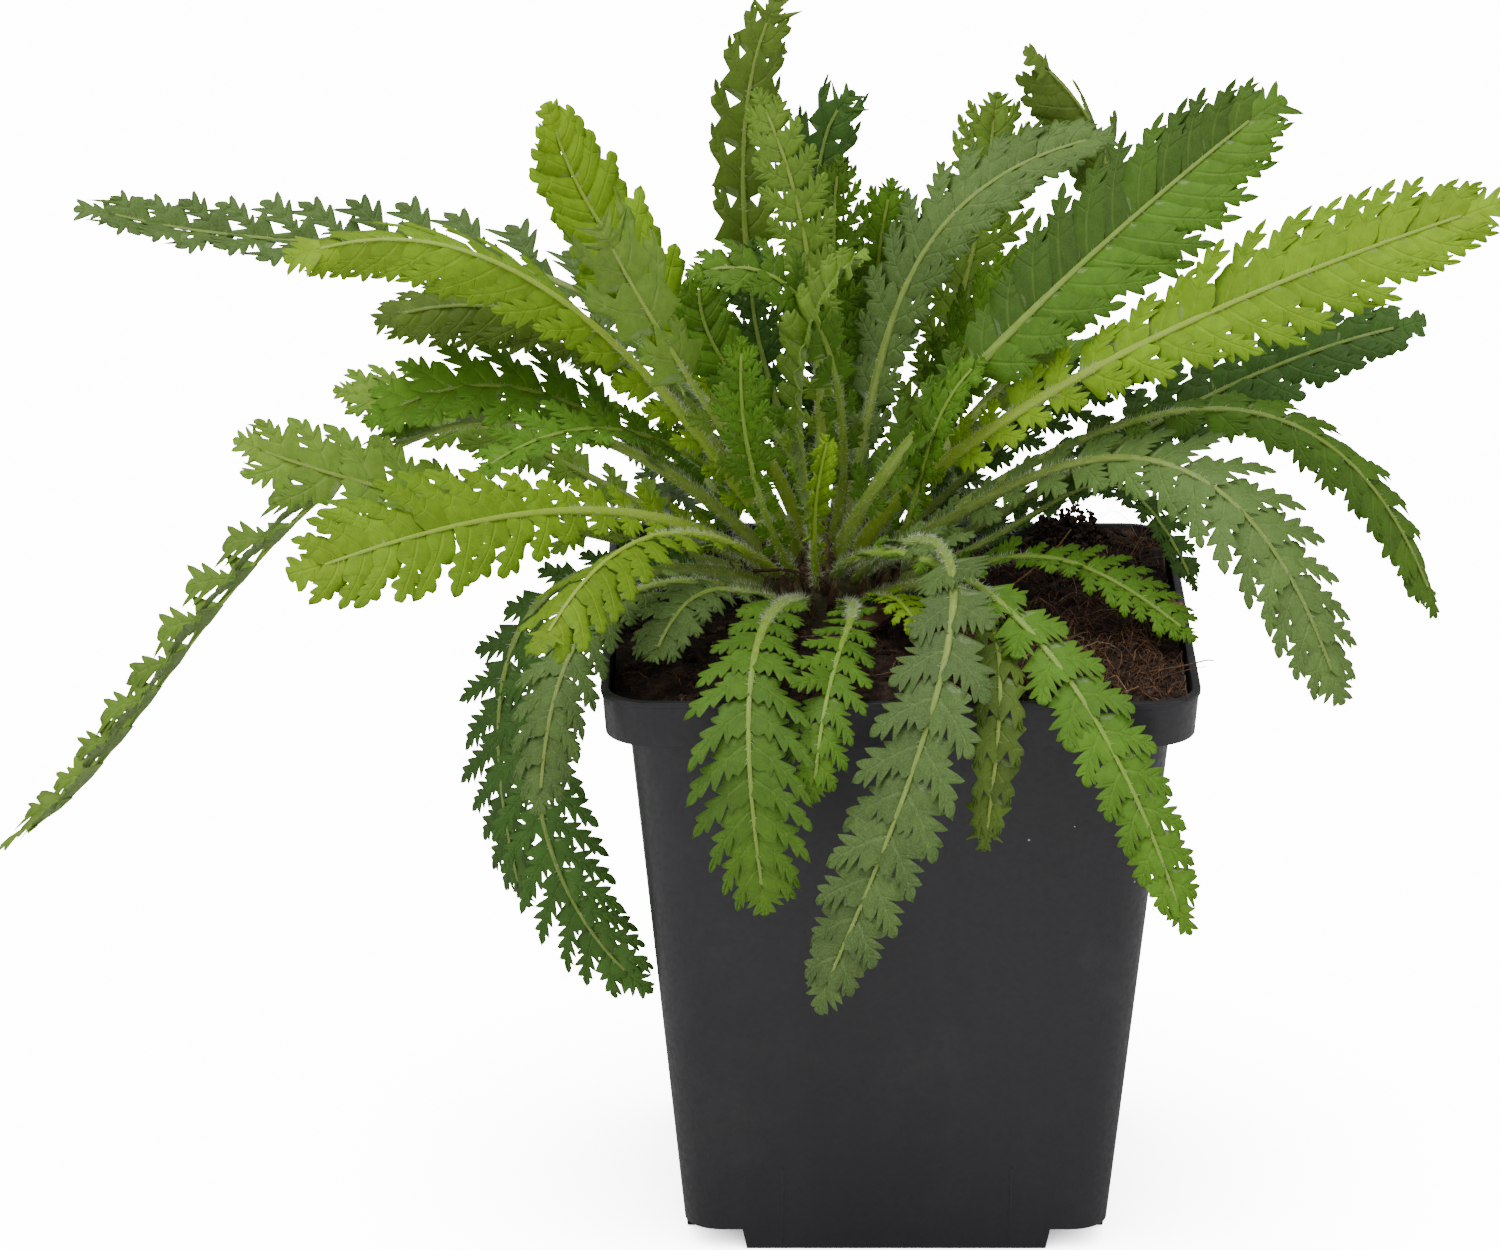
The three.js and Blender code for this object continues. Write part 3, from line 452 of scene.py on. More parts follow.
soil_base = FOOT_H + WALL + GAP
drop = soil_floor - SOIL_SHOULDER - soil_base
bpy.ops.mesh.extrude_region_move(TRANSFORM_OT_translate={"value": (0, 0, -drop * MM)})
shrink = (half_at(soil_base) - WALL - 2 * GAP) / (BODY_TOP_HALF - WALL - 2 * GAP)
bpy.ops.transform.resize(value=(shrink, shrink, 1), center_override=(0, 0, soil_base * MM))
bpy.ops.mesh.edge_face_add()
bpy.ops.mesh.select_all(action="SELECT")
bpy.ops.mesh.normals_make_consistent(inside=False)
bpy.ops.mesh.select_mode(type="VERT")
bpy.ops.object.mode_set(mode="OBJECT")
bpy.ops.object.shade_smooth_by_angle(angle=math.radians(55))

peat_look, peat_in, peat_out = new_group(
    "peat_look", [("Dark", "NodeSocketColor", (0, 0, 0, 1)), ("Light", "NodeSocketColor", (1, 1, 1, 1)),
                  ("Scale", "NodeSocketFloat", 1)],
    [("Color", "NodeSocketColor"), ("Height", "NodeSocketFloat")])
place = put(peat_look, "ShaderNodeTexCoord").outputs["Object"]
coarse_scale = calc(peat_look, "MULTIPLY", peat_in.outputs["Scale"], 260)
fine_scale = calc(peat_look, "MULTIPLY", peat_in.outputs["Scale"], 1500)
coarse = put(peat_look, "ShaderNodeTexNoise", {"Detail": 7, "Roughness": 0.75},
             {"Vector": place, "Scale": coarse_scale})
fine = put(peat_look, "ShaderNodeTexNoise", {"Detail": 4, "Roughness": 0.7},
           {"Vector": place, "Scale": fine_scale})
tone = ramp_between(peat_look, coarse.outputs["Fac"], 0.42, 0.72)
peat_colour = blend_colours(peat_look, tone, peat_in.outputs["Dark"], peat_in.outputs["Light"])
glints = ramp_between(peat_look, fine.outputs["Fac"], 0.66, 0.8, 0, 0.5)
peat_colour = blend_colours(peat_look, glints, peat_colour, (0.26, 0.17, 0.11, 1))
height = calc(peat_look, "ADD", coarse.outputs["Fac"], calc(peat_look, "MULTIPLY", fine.outputs["Fac"], 0.4))
peat_look.links.new(peat_colour, peat_out.inputs["Color"])
peat_look.links.new(height, peat_out.inputs["Height"])


def earthy(name, dark, light, scale, roughness, relief):
    """A material of peat, bark or dry plant matter."""
    material, tree, look = new_material(name)
    effect = put(tree, "ShaderNodeGroup", node_tree=peat_look)
    set_sockets(effect, {"Dark": (*dark, 1), "Light": (*light, 1), "Scale": scale})
    bump = put(tree, "ShaderNodeBump", {"Strength": relief, "Distance": 0.0006},
               {"Height": effect.outputs["Height"]})
    tree.links.new(effect.outputs["Color"], look.inputs["Base Color"])
    tree.links.new(bump.outputs["Normal"], look.inputs["Normal"])
    set_sockets(look, {"Roughness": roughness, "Specular IOR Level": 0.3})
    return material


peat = earthy("peat", (0.012, 0.007, 0.005), (0.075, 0.041, 0.024), 1, 0.85, 0.9)
soil.data.materials.append(peat)
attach(soil, "root")
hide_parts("soil")


def mesh_piece(name, points, faces, materials, marks=None, smooth_angle=None):
    """A new piece from points in millimetres. marks holds the number of each face's material."""
    mesh = bpy.data.meshes.new(name)
    mesh.from_pydata([tuple(c * MM for c in p) for p in points], [], faces)
    for material in materials:
        mesh.materials.append(material)
    if marks:
        mesh.polygons.foreach_set("material_index", marks)
    mesh.update()
    piece = bpy.data.objects.new(name, mesh)
    bpy.context.scene.collection.objects.link(piece)
    if smooth_angle is not None:
        take_up(piece)
        bpy.ops.object.shade_smooth_by_angle(angle=math.radians(smooth_angle))
    return piece


def tube(points, path, radius_at, sides, faces):
    """Adds a closed tube along a path to lists of points and faces. radius_at gives the radius in mm for a
    share of the path from 0 to 1."""
    base = len(points)
    spots = [Vector(p) for p in path]
    across = None
    for i, spot in enumerate(spots):
        ahead = (spots[min(i + 1, len(spots) - 1)] - spots[max(i - 1, 0)]).normalized()
        if across is None:
            across = ahead.orthogonal().normalized()
        across = (across - ahead * across.dot(ahead)).normalized()
        other = ahead.cross(across)
        radius = radius_at(i / (len(spots) - 1))
        for k in range(sides):
            turn = 2 * math.pi * k / sides
            points.append(spot + (across * math.cos(turn) + other * math.sin(turn)) * radius)
    for i in range(len(spots) - 1):
        for k in range(sides):
            a, b = base + i * sides + k, base + i * sides + (k + 1) % sides
            faces.append((a, b, b + sides, a + sides))
    faces.append(tuple(base + k for k in reversed(range(sides))))
    last = base + (len(spots) - 1) * sides
    faces.append(tuple(last + k for k in range(sides)))


CRUMBS = 1500
CRUMB_SIZES = (0.35, 1.5)
chance = random.Random(41)
bpy.ops.object.select_all(action="DESELECT")
bpy.ops.mesh.primitive_ico_sphere_add(subdivisions=1, radius=1)
crumb_form = bpy.context.active_object
crumb_points = [v.co.copy() for v in crumb_form.data.vertices]
crumb_faces = [tuple(f.vertices) for f in crumb_form.data.polygons]
bpy.data.objects.remove(crumb_form)


def free_of_crown(x, y):
    return math.hypot(x - CROWN.x, y - CROWN.y) > CROWN_CLEAR


def scatter_crumbs(count, sizes, spot, lift=0.2):
    """Copies the crumb to places that spot() draws. Each copy is turned, flattened and dented on its own."""
    points, faces = [], []
    for _ in range(count):
        x, y, z = spot()
        size = sizes[0] + (sizes[1] - sizes[0]) * chance.random() ** 2.6
        turn = Matrix.Rotation(chance.uniform(0, 6.28), 3, Vector(
            (chance.gauss(0, 1), chance.gauss(0, 1), chance.gauss(0, 1))).normalized())
        form = Vector((1, chance.uniform(0.55, 1), chance.uniform(0.4, 0.8)))
        base = len(points)
        for p in crumb_points:
            dented = p * (1 + 0.35 * noise.noise(p * 1.3 + Vector((x, y, z))))
            shaped = Vector((dented.x * form.x, dented.y * form.y, dented.z * form.z))
            points.append(turn @ shaped * size + Vector((x, y, z + lift * size)))
        faces.extend(tuple(base + i for i in f) for f in crumb_faces)
    return points, faces


def any_soil_spot():
    while True:
        x, y = chance.uniform(-SOIL_EDGE, SOIL_EDGE), chance.uniform(-SOIL_EDGE, SOIL_EDGE)
        if free_of_crown(x, y):
            return x, y, soil_top(x, y)


crumb_peat = earthy("crumb_peat", (0.018, 0.010, 0.007), (0.11, 0.06, 0.036), 1.4, 0.8, 0.8)
crumbs = mesh_piece("peat_crumbs", *scatter_crumbs(CRUMBS, CRUMB_SIZES, any_soil_spot), [crumb_peat],
                    smooth_angle=50)
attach(crumbs, "root")

# A little heap of crumbs stands above the rim at the back on the right.
HEAP = Vector((34, 44, 113))
HEAP_REACH = (9, 6)
HEAP_H = 9
HEAP_CRUMBS = 420
HEAP_CRUMB_SIZES = (0.3, 1.1)


def heap_spot():
    x, y = chance.gauss(HEAP.x, 5), chance.gauss(HEAP.y, 2.6)
    x, y = min(SOIL_EDGE, max(20, x)), min(SOIL_EDGE, max(30, y))
    reach = math.hypot((x - HEAP.x) / HEAP_REACH[0], (y - HEAP.y) / HEAP_REACH[1])
    ceiling = max(0, 1 - reach * reach) * HEAP_H
    return x, y, soil_top(x, y) + ceiling * chance.random() ** 0.5


heap = mesh_piece("crumb_heap", *scatter_crumbs(HEAP_CRUMBS, HEAP_CRUMB_SIZES, heap_spot), [crumb_peat],
                  smooth_angle=50)
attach(heap, "root")


def coir_spot():
    """Coir lies thickest on the right and near the front rim there."""
    while True:
        x, y, z = any_soil_spot()
        thick_here = smoothstep(x, -8, 34) * (0.35 + 0.65 * smoothstep(-y, -30, 30))
        if chance.random() < 0.08 + 0.92 * thick_here:
            return x, y, z


def coir_strands(name, count, lengths, thicknesses, rise, colours):
    """Curled fibres that lie on the soil and over one another."""
    points, faces = [], []
    for _ in range(count):
        x, y, _ = coir_spot()
        heading = chance.uniform(0, 6.28)
        length = chance.uniform(*lengths)
        bow = chance.uniform(-1.3, 1.3)
        height = rise * chance.random() ** 1.6 * (0.3 + 0.7 * smoothstep(x, 0, 30))
        path = []
        for i in range(6):
            share = i / 5
            aim = heading + bow * share
            x, y = x + length / 5 * math.cos(aim), y + length / 5 * math.sin(aim)
            x, y = max(-SOIL_EDGE, min(COIR_EDGE, x)), max(-COIR_EDGE, min(SOIL_EDGE, y))
            path.append((x, y, soil_top(x, y) + 0.15 + height * math.sin(math.pi * share)
                         + chance.uniform(-0.15, 0.3)))
        thick = chance.uniform(*thicknesses)
        tube(points, path, lambda share: thick * (1 - 0.5 * share), 4, faces)
    coir = earthy(name, *colours, 2, 0.75, 0.3)
    strands = mesh_piece(name, points, faces, [coir], smooth_angle=80)
    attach(strands, "root")


coir_strands("dark_coir", 700, (3, 9), (0.08, 0.2), 2.4, ((0.035, 0.017, 0.009), (0.14, 0.07, 0.036)))
coir_strands("brown_coir", 800, (3, 10), (0.06, 0.15), 3.4, ((0.09, 0.042, 0.02), (0.27, 0.14, 0.07)))
coir_strands("pale_coir", 60, (5, 14), (0.05, 0.1), 4, ((0.25, 0.15, 0.09), (0.5, 0.36, 0.25)))


def loose_fibre(name, path, thick, colours):
    """A single stalk or fibre along a few points, drawn as a smooth curve."""
    spots = [Vector(p) for p in path]
    ends = [spots[0] * 2 - spots[1], *spots, spots[-1] * 2 - spots[-2]]
    smooth_path = []
    for i in range(1, len(ends) - 2):
        before, first, second, after = ends[i - 1:i + 3]
        for step in range(6):
            t = step / 6
            smooth_path.append(0.5 * (first * 2 + (second - before) * t
                               + (before * 2 - first * 5 + second * 4 - after) * t * t
                               + (first * 3 - before - second * 3 + after) * t ** 3))
    smooth_path.append(spots[-1])
    points, faces = [], []
    tube(points, smooth_path, lambda share: thick * (1 - 0.45 * share), 6, faces)
    bark = earthy(name, *colours, 2, 0.6, 0.4)
    piece = mesh_piece(name, points, faces, [bark], smooth_angle=80)
    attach(piece, "root")


straw_colours = ((0.2, 0.11, 0.03), (0.42, 0.28, 0.09))
loose_fibre("straw", ((20, 12, 113), (26, 16, 116.5), (31, 21, 119.5), (34, 25, 122)), 0.24, straw_colours)
fibre_colours = ((0.06, 0.03, 0.015), (0.2, 0.1, 0.05))
loose_fibre("fibre_over_rim", ((36, -40, 113.6), (40, -50, 115.2), (41.4, -55.4, 114.6), (41.9, -55.9, 110),
                               (41.2, -55.6, 106.5)), 0.17, fibre_colours)
loose_fibre("fibre_right", ((46, -37, 114), (52, -38.5, 115.6), (56, -39.5, 117), (57.6, -40, 117.2)), 0.22,
            fibre_colours)
loose_fibre("fibre_right_thin", ((47, -41, 114), (53, -40, 115.4), (56.4, -38.4, 115.5)), 0.12, fibre_colours)
twig_colours = ((0.03, 0.012, 0.008), (0.12, 0.045, 0.028))
loose_fibre("dead_twig", ((-27, 2, 121), (-21, 1.2, 121.4), (-14.5, 0.4, 120.2), (-12, 0, 118)), 0.36,
            twig_colours)


SCRAP_HALF_THICK = 0.12


def crumpled_scrap(name, centre, size, turn, lift, colours):
    """A dry, curled piece of leaf: a torn sheet, rolled up and crumpled."""
    rows, columns = 12, 8
    spin = Matrix.Rotation(turn, 3, "Z") @ Matrix.Rotation(lift, 3, "Y")
    points, faces = [], []
    for level in (SCRAP_HALF_THICK, -SCRAP_HALF_THICK):
        for i in range(rows + 1):
            for k in range(columns + 1):
                u, v = i / rows - 0.5, k / columns - 0.5
                torn = 1 - 1.2 * u * u + 0.35 * noise.noise(Vector((u * 6, centre[0], 0)))
                y = v * size * 0.55 * torn
                x = u * size + 0.12 * size * noise.noise(Vector((v * 5, u * 3, centre[1])))
                roll = 1.6 * v + 0.8 * u
                z = 0.28 * size * (math.cos(roll * 1.4) - 1) + 0.14 * size * noise.noise(
                    Vector((u * 4, v * 4, centre[2] * 0.3)))
                spot = Vector((x, y, z + level))
                points.append(spin @ spot + Vector(centre))
    across = columns + 1
    under = (rows + 1) * across
    for i in range(rows):
        for k in range(columns):
            a = i * across + k
            faces.append((a, a + 1, a + across + 1, a + across))
            faces.append((under + a, under + a + across, under + a + across + 1, under + a + 1))
    border = ([k for k in range(columns)] + [i * across + columns for i in range(rows)]
              + [rows * across + k for k in range(columns, 0, -1)] + [i * across for i in range(rows, 0, -1)])
    for first, second in zip(border, border[1:] + border[:1]):
        faces.append((first, under + first, under + second, second))
    dry = earthy(name, *colours, 1.5, 0.7, 0.6)
    piece = mesh_piece(name, points, faces, [dry], smooth_angle=60)
    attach(piece, "root")


scrap_colours = ((0.2, 0.1, 0.045), (0.46, 0.27, 0.14))
crumpled_scrap("dry_scrap", (51.6, -3, 117), 8, 1.2, 0.5, scrap_colours)
crumpled_scrap("dry_scrap_small", (52.6, -11, 115.6), 5, 0.4, -0.4, scrap_colours)
withered_colours = ((0.05, 0.02, 0.011), (0.2, 0.085, 0.05))
crumpled_scrap("withered_leaf", (-4.5, -6, 116.4), 11, 0.5, -0.25, withered_colours)
crumpled_scrap("withered_leaf_tip", (1.8, -8, 118), 6, -0.6, 0.4, withered_colours)


# The crown is the short, woody stool that all fronds grow from: a low mound wrapped in the dry, hairy
# sheaths of old leaf stalks, sunk into the peat.
CROWN_R = 14.5
CROWN_DEPTH = 9
CROWN_SUNK = 0.035
CROWN_ROUGH = 0.05
SHEATHS = 150
SHEATH_HALF_THICK = 0.12

bpy.ops.object.select_all(action="DESELECT")
bpy.ops.mesh.primitive_uv_sphere_add(segments=48, ring_count=28, radius=CROWN_R * MM, location=CROWN * MM)
stool = bpy.context.active_object
stool.name = "crown_stool"
bpy.ops.object.transform_apply(location=True, rotation=False, scale=False)
for spot in stool.data.vertices:
    offset = spot.co / MM - CROWN
    rough_out = 1 - CROWN_SUNK + CROWN_ROUGH * noise.noise(offset * 0.5)
    if offset.z < 0:
        offset.z = max(offset.z, -CROWN_DEPTH)
    spot.co = (CROWN + offset * rough_out) * MM
bpy.ops.object.shade_smooth()
sheath_bark = earthy("sheath_bark", (0.05, 0.045, 0.02), (0.17, 0.16, 0.07), 1.2, 0.85, 0.8)
stool.data.materials.append(sheath_bark)
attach(stool, "root")
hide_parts("crown")

sheath_points, sheath_faces = [], []
for _ in range(SHEATHS):
    rise = math.asin(chance.uniform(0.02, 0.98))
    heading = chance.uniform(0, 2 * math.pi)
    out = Vector((math.cos(rise) * math.cos(heading), math.cos(rise) * math.sin(heading), math.sin(rise)))
    up_slope = (Vector((0, 0, 1)) - out * out.z).normalized()
    across = out.cross(up_slope)
    foot = CROWN + out * (CROWN_R - 0.7)
    long, wide = chance.uniform(4, 9), chance.uniform(1.2, 2.4)
    lean = chance.uniform(0.25, 0.8)
    base = len(sheath_points)
    for i, (along, share) in enumerate(((0, 1), (0.35, 1), (0.7, 0.7), (1, 0.12))):
        middle = foot + up_slope * (along * long * (1 - lean * 0.5)) + out * (along * long * lean)
        for k in (-1, 0, 1):
            curl = out * (0.35 * wide * (1 - abs(k)) * share)
            for level in (SHEATH_HALF_THICK, -SHEATH_HALF_THICK):
                sheath_points.append(middle + across * (k * share * wide / 2) + curl + out * level)
    for i in range(3):
        for k in range(2):
            a = base + i * 6 + k * 2
            sheath_faces.append((a, a + 2, a + 8, a + 6))
            sheath_faces.append((a + 1, a + 7, a + 9, a + 3))
        left, right = base + i * 6, base + i * 6 + 4
        sheath_faces.append((left, left + 6, left + 7, left + 1))
        sheath_faces.append((right, right + 1, right + 7, right + 6))
    for k in range(2):
        foot_edge, head_edge = base + k * 2, base + 18 + k * 2
        sheath_faces.append((foot_edge, foot_edge + 1, foot_edge + 3, foot_edge + 2))
        sheath_faces.append((head_edge, head_edge + 2, head_edge + 3, head_edge + 1))
dry_sheath = earthy("dry_sheath", (0.06, 0.035, 0.018), (0.24, 0.17, 0.09), 1.6, 0.8, 0.5)
sheaths = mesh_piece("old_sheaths", sheath_points, sheath_faces, [dry_sheath], smooth_angle=60)
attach(sheaths, "root")


# The fronds are soft leaves: a grooved, hairy stalk that runs on as the rib of a blade, with two rows of
# thin toothed leaflets. Every frond follows the curve of its CAD solid, and each leaflet is bent as the
# solid's leaflet is. This section holds what all fronds share, and the lowest fronds of the left side.
ROOT_OUT = 0.35
SHEET = 0.33
SWEEP = math.radians(34)
RIB_TIP = 0.5
RIB_FLAT = 0.85
PETIOLE_THIN = 0.85
PETIOLE_GROWTH = 0.052
CURVE_STEPS = 80
BLADE_END = 0.965
TIP_POWER = 3.2
CROWDING = 0.16
SOLID_CORNERS = ((0.62, 0.04), (1, 0.42), (0.7, 0.76))
LIFTS = (0, 9, -9, 18, -18, 28, -28, 40, -40, 54, -54, 70, -70)
SHRINKS = (1, 0.7, 0.45, 0.2)
GOOD_FIT = 0.02
LEAF_GLOW = (0.6, 1.0, 0.25)
FELT_GREY = (0.44, 0.52, 0.3, 1)
UPPER_RELIEF = 0.00025
UNDER_RELIEF = 0.0005
DARK_FOOT = 26
SMOOTH_BELOW = 62

leaf_tissue, leaf_in, leaf_out = new_group(
    "leaf_tissue",
    [("Leaf", "NodeSocketColor", (0, 0, 0, 1)), ("Young", "NodeSocketColor", (0, 0, 0, 1)),
     ("Vein", "NodeSocketColor", (0, 0, 0, 1)), ("Tip", "NodeSocketColor", (0.05, 0.07, 0.015, 1)),
     ("Felt", "NodeSocketFloat", 0.1)],
    [("Color", "NodeSocketColor"), ("Roughness", "NodeSocketFloat"), ("Height", "NodeSocketFloat")])
place = put(leaf_tissue, "ShaderNodeTexCoord").outputs["Object"]
leaf_map = put(leaf_tissue, "ShaderNodeUVMap", uv_map="leaflet").outputs["UV"]
map_parts = put(leaf_tissue, "ShaderNodeSeparateXYZ", None, {0: leaf_map})
row_wave = calc(leaf_tissue, "PINGPONG", map_parts.outputs["X"], 1.0)
off_rib = calc(leaf_tissue, "ABSOLUTE", map_parts.outputs["Y"])
side_vein = ramp_between(leaf_tissue, row_wave, 0.72, 1.0)
mid_vein = ramp_between(leaf_tissue, off_rib, 0.0, 0.14, 1.0, 0.0)
fading = ramp_between(leaf_tissue, off_rib, 0.35, 1.0, 0.75, 0.0)
vein = calc(leaf_tissue, "MAXIMUM", mid_vein, calc(leaf_tissue, "MULTIPLY", side_vein, fading))
mottle = put(leaf_tissue, "ShaderNodeTexNoise", {"Scale": 420, "Detail": 5, "Roughness": 0.65},
             {"Vector": place})
grain = put(leaf_tissue, "ShaderNodeTexNoise", {"Scale": 3600, "Detail": 3, "Roughness": 0.6},
            {"Vector": place})
tints = put(leaf_tissue, "ShaderNodeAttribute", attribute_name="tint")
tint_parts = put(leaf_tissue, "ShaderNodeSeparateColor", None, {0: tints.outputs["Color"]})
blade_colour = blend_colours(leaf_tissue, tint_parts.outputs["Green"],
                             leaf_in.outputs["Leaf"], leaf_in.outputs["Young"])
# The red of the tint sets each leaflet's brightness: partly its own tone, partly painted light and shade for
# how brightly its frond is lit.
leaflet_tone_and_light = ramp_between(leaf_tissue, tint_parts.outputs["Red"], 0, 1, 0.5, 1.5, False)
mottle_shift = ramp_between(leaf_tissue, mottle.outputs["Fac"], 0.3, 0.7, 0.86, 1.12)
shade = calc(leaf_tissue, "MULTIPLY", leaflet_tone_and_light, mottle_shift)
shaded = put(leaf_tissue, "ShaderNodeVectorMath", None, {0: blade_colour}, operation="SCALE")
leaf_tissue.links.new(shade, shaded.inputs["Scale"])
veined = blend_colours(leaf_tissue, calc(leaf_tissue, "MULTIPLY", vein, 0.25),
                       shaded.outputs[0], leaf_in.outputs["Vein"])
tip_share = calc(leaf_tissue, "MULTIPLY", tint_parts.outputs["Blue"], 0.4)
veined = blend_colours(leaf_tissue, tip_share, veined, leaf_in.outputs["Tip"])
felt_mask = calc(leaf_tissue, "MULTIPLY", ramp_between(leaf_tissue, grain.outputs["Fac"], 0.35, 0.7),
                 leaf_in.outputs["Felt"])
felted = blend_colours(leaf_tissue, felt_mask, veined, FELT_GREY)
bulge = calc(leaf_tissue, "MULTIPLY", calc(leaf_tissue, "SUBTRACT", 1.0, row_wave), 0.5)
relief = calc(leaf_tissue, "SUBTRACT", bulge, calc(leaf_tissue, "MULTIPLY", vein, 0.8))
relief = calc(leaf_tissue, "ADD", relief, calc(leaf_tissue, "MULTIPLY", grain.outputs["Fac"], 0.5))
relief = calc(leaf_tissue, "ADD", relief, calc(leaf_tissue, "MULTIPLY", mottle.outputs["Fac"], 0.8))
leaf_rough = ramp_between(leaf_tissue, grain.outputs["Fac"], 0.3, 0.7, 0.48, 0.68)
leaf_tissue.links.new(felted, leaf_out.inputs["Color"])
leaf_tissue.links.new(leaf_rough, leaf_out.inputs["Roughness"])
leaf_tissue.links.new(relief, leaf_out.inputs["Height"])


def leaf_material(name, leaf, young, vein_colour, felt, relief_depth):
    material, tree, look = new_material(name)
    effect = put(tree, "ShaderNodeGroup", node_tree=leaf_tissue)
    set_sockets(effect, {"Leaf": (*leaf, 1), "Young": (*young, 1), "Vein": (*vein_colour, 1), "Felt": felt})
    bump = put(tree, "ShaderNodeBump", {"Strength": 0.7, "Distance": relief_depth},
               {"Height": effect.outputs["Height"]})
    tree.links.new(effect.outputs["Color"], look.inputs["Base Color"])
    tree.links.new(effect.outputs["Roughness"], look.inputs["Roughness"])
    tree.links.new(bump.outputs["Normal"], look.inputs["Normal"])
    set_sockets(look, {"Specular IOR Level": 0.22, "Subsurface Weight": 0.15,
                       "Subsurface Radius": LEAF_GLOW, "Subsurface Scale": 0.0008})
    return material


# The colours of each tone: leaf, young parts, veins, and how much grey felt it carries.
TONES = {
    "fresh": ((0.175, 0.335, 0.006), (0.31, 0.47, 0.012), (0.33, 0.46, 0.04), 0.03),
    "bright": ((0.080, 0.195, 0.009), (0.135, 0.28, 0.012), (0.19, 0.33, 0.04), 0.04),
    "pale": ((0.155, 0.285, 0.026), (0.215, 0.345, 0.032), (0.29, 0.39, 0.09), 0.08),
    "mid": ((0.070, 0.170, 0.008), (0.12, 0.235, 0.012), (0.17, 0.29, 0.04), 0.05),
    "dark": ((0.036, 0.098, 0.011), (0.06, 0.14, 0.014), (0.11, 0.2, 0.04), 0.05),
    "grey": ((0.080, 0.155, 0.026), (0.115, 0.195, 0.034), (0.2, 0.29, 0.09), 0.14),
    "olive": ((0.092, 0.165, 0.012), (0.14, 0.225, 0.018), (0.22, 0.29, 0.05), 0.06),
}


def paler(colour, share, toward=(0.25, 0.33, 0.16)):
    return tuple(c + (t - c) * share for c, t in zip(colour, toward))


def stalk_material(name, colour):
    """The stalk and rib: pale yellow-green, ribbed lengthways, darker near the foot."""
    material, tree, look = new_material(name)
    stalk_map = put(tree, "ShaderNodeUVMap", uv_map="leaflet").outputs["UV"]
    stretched = put(tree, "ShaderNodeMapping", {"Scale": (0.35, 9, 1)}, {"Vector": stalk_map})
    ribs = put(tree, "ShaderNodeTexNoise", {"Scale": 1, "Detail": 3}, {"Vector": stretched.outputs[0]})
    place = put(tree, "ShaderNodeTexCoord").outputs["Object"]
    spots = put(tree, "ShaderNodeTexNoise", {"Scale": 500, "Detail": 4}, {"Vector": place})
    along = put(tree, "ShaderNodeSeparateXYZ", None, {0: stalk_map}).outputs["X"]
    foot_share = ramp_between(tree, along, 0, DARK_FOOT, 0.55, 0.0)
    base = blend_colours(tree, ramp_between(tree, ribs.outputs["Fac"], 0.3, 0.7),
                         (*colour, 1), (*paler(colour, 0.35, (0.4, 0.5, 0.14)), 1))
    base = blend_colours(tree, calc(tree, "MULTIPLY", foot_share, spots.outputs["Fac"]),
                         base, (0.17, 0.2, 0.03, 1))
    tree.links.new(base, look.inputs["Base Color"])
    height = calc(tree, "ADD", ribs.outputs["Fac"], calc(tree, "MULTIPLY", spots.outputs["Fac"], 0.4))
    bump = put(tree, "ShaderNodeBump", {"Strength": 0.6, "Distance": 0.0003}, {"Height": height})
    tree.links.new(bump.outputs["Normal"], look.inputs["Normal"])
    rough = ramp_between(tree, spots.outputs["Fac"], 0.3, 0.7, 0.42, 0.6)
    tree.links.new(rough, look.inputs["Roughness"])
    set_sockets(look, {"Subsurface Weight": 0.15, "Subsurface Radius": LEAF_GLOW, "Subsurface Scale": 0.001})
    return material


leaf_hair, tree, look = new_material("leaf_hair")
place = put(tree, "ShaderNodeTexCoord").outputs["Object"]
hair_noise = put(tree, "ShaderNodeTexNoise", {"Scale": 90, "Detail": 2}, {"Vector": place})
hair_tone = blend_colours(tree, hair_noise.outputs["Fac"], (0.55, 0.62, 0.42, 1), (0.85, 0.88, 0.78, 1))
tree.links.new(hair_tone, look.inputs["Base Color"])
look.inputs["Roughness"].default_value = 0.45

UPPER, UNDER, STALK, HAIR = range(4)
FINISHES = {}
for tone_name, (leaf, young, vein_colour, felt) in TONES.items():
    stalk_colour = paler(young, 0.35, (0.3, 0.42, 0.04))
    FINISHES[tone_name] = [
        leaf_material("leaf_" + tone_name, leaf, young, vein_colour, felt, UPPER_RELIEF),
        leaf_material("underside_" + tone_name, paler(leaf, 0.4), paler(young, 0.4),
                      paler(vein_colour, 0.3), felt + 0.12, UNDER_RELIEF),
        stalk_material("stalk_" + tone_name, stalk_colour),
        leaf_hair,
    ]


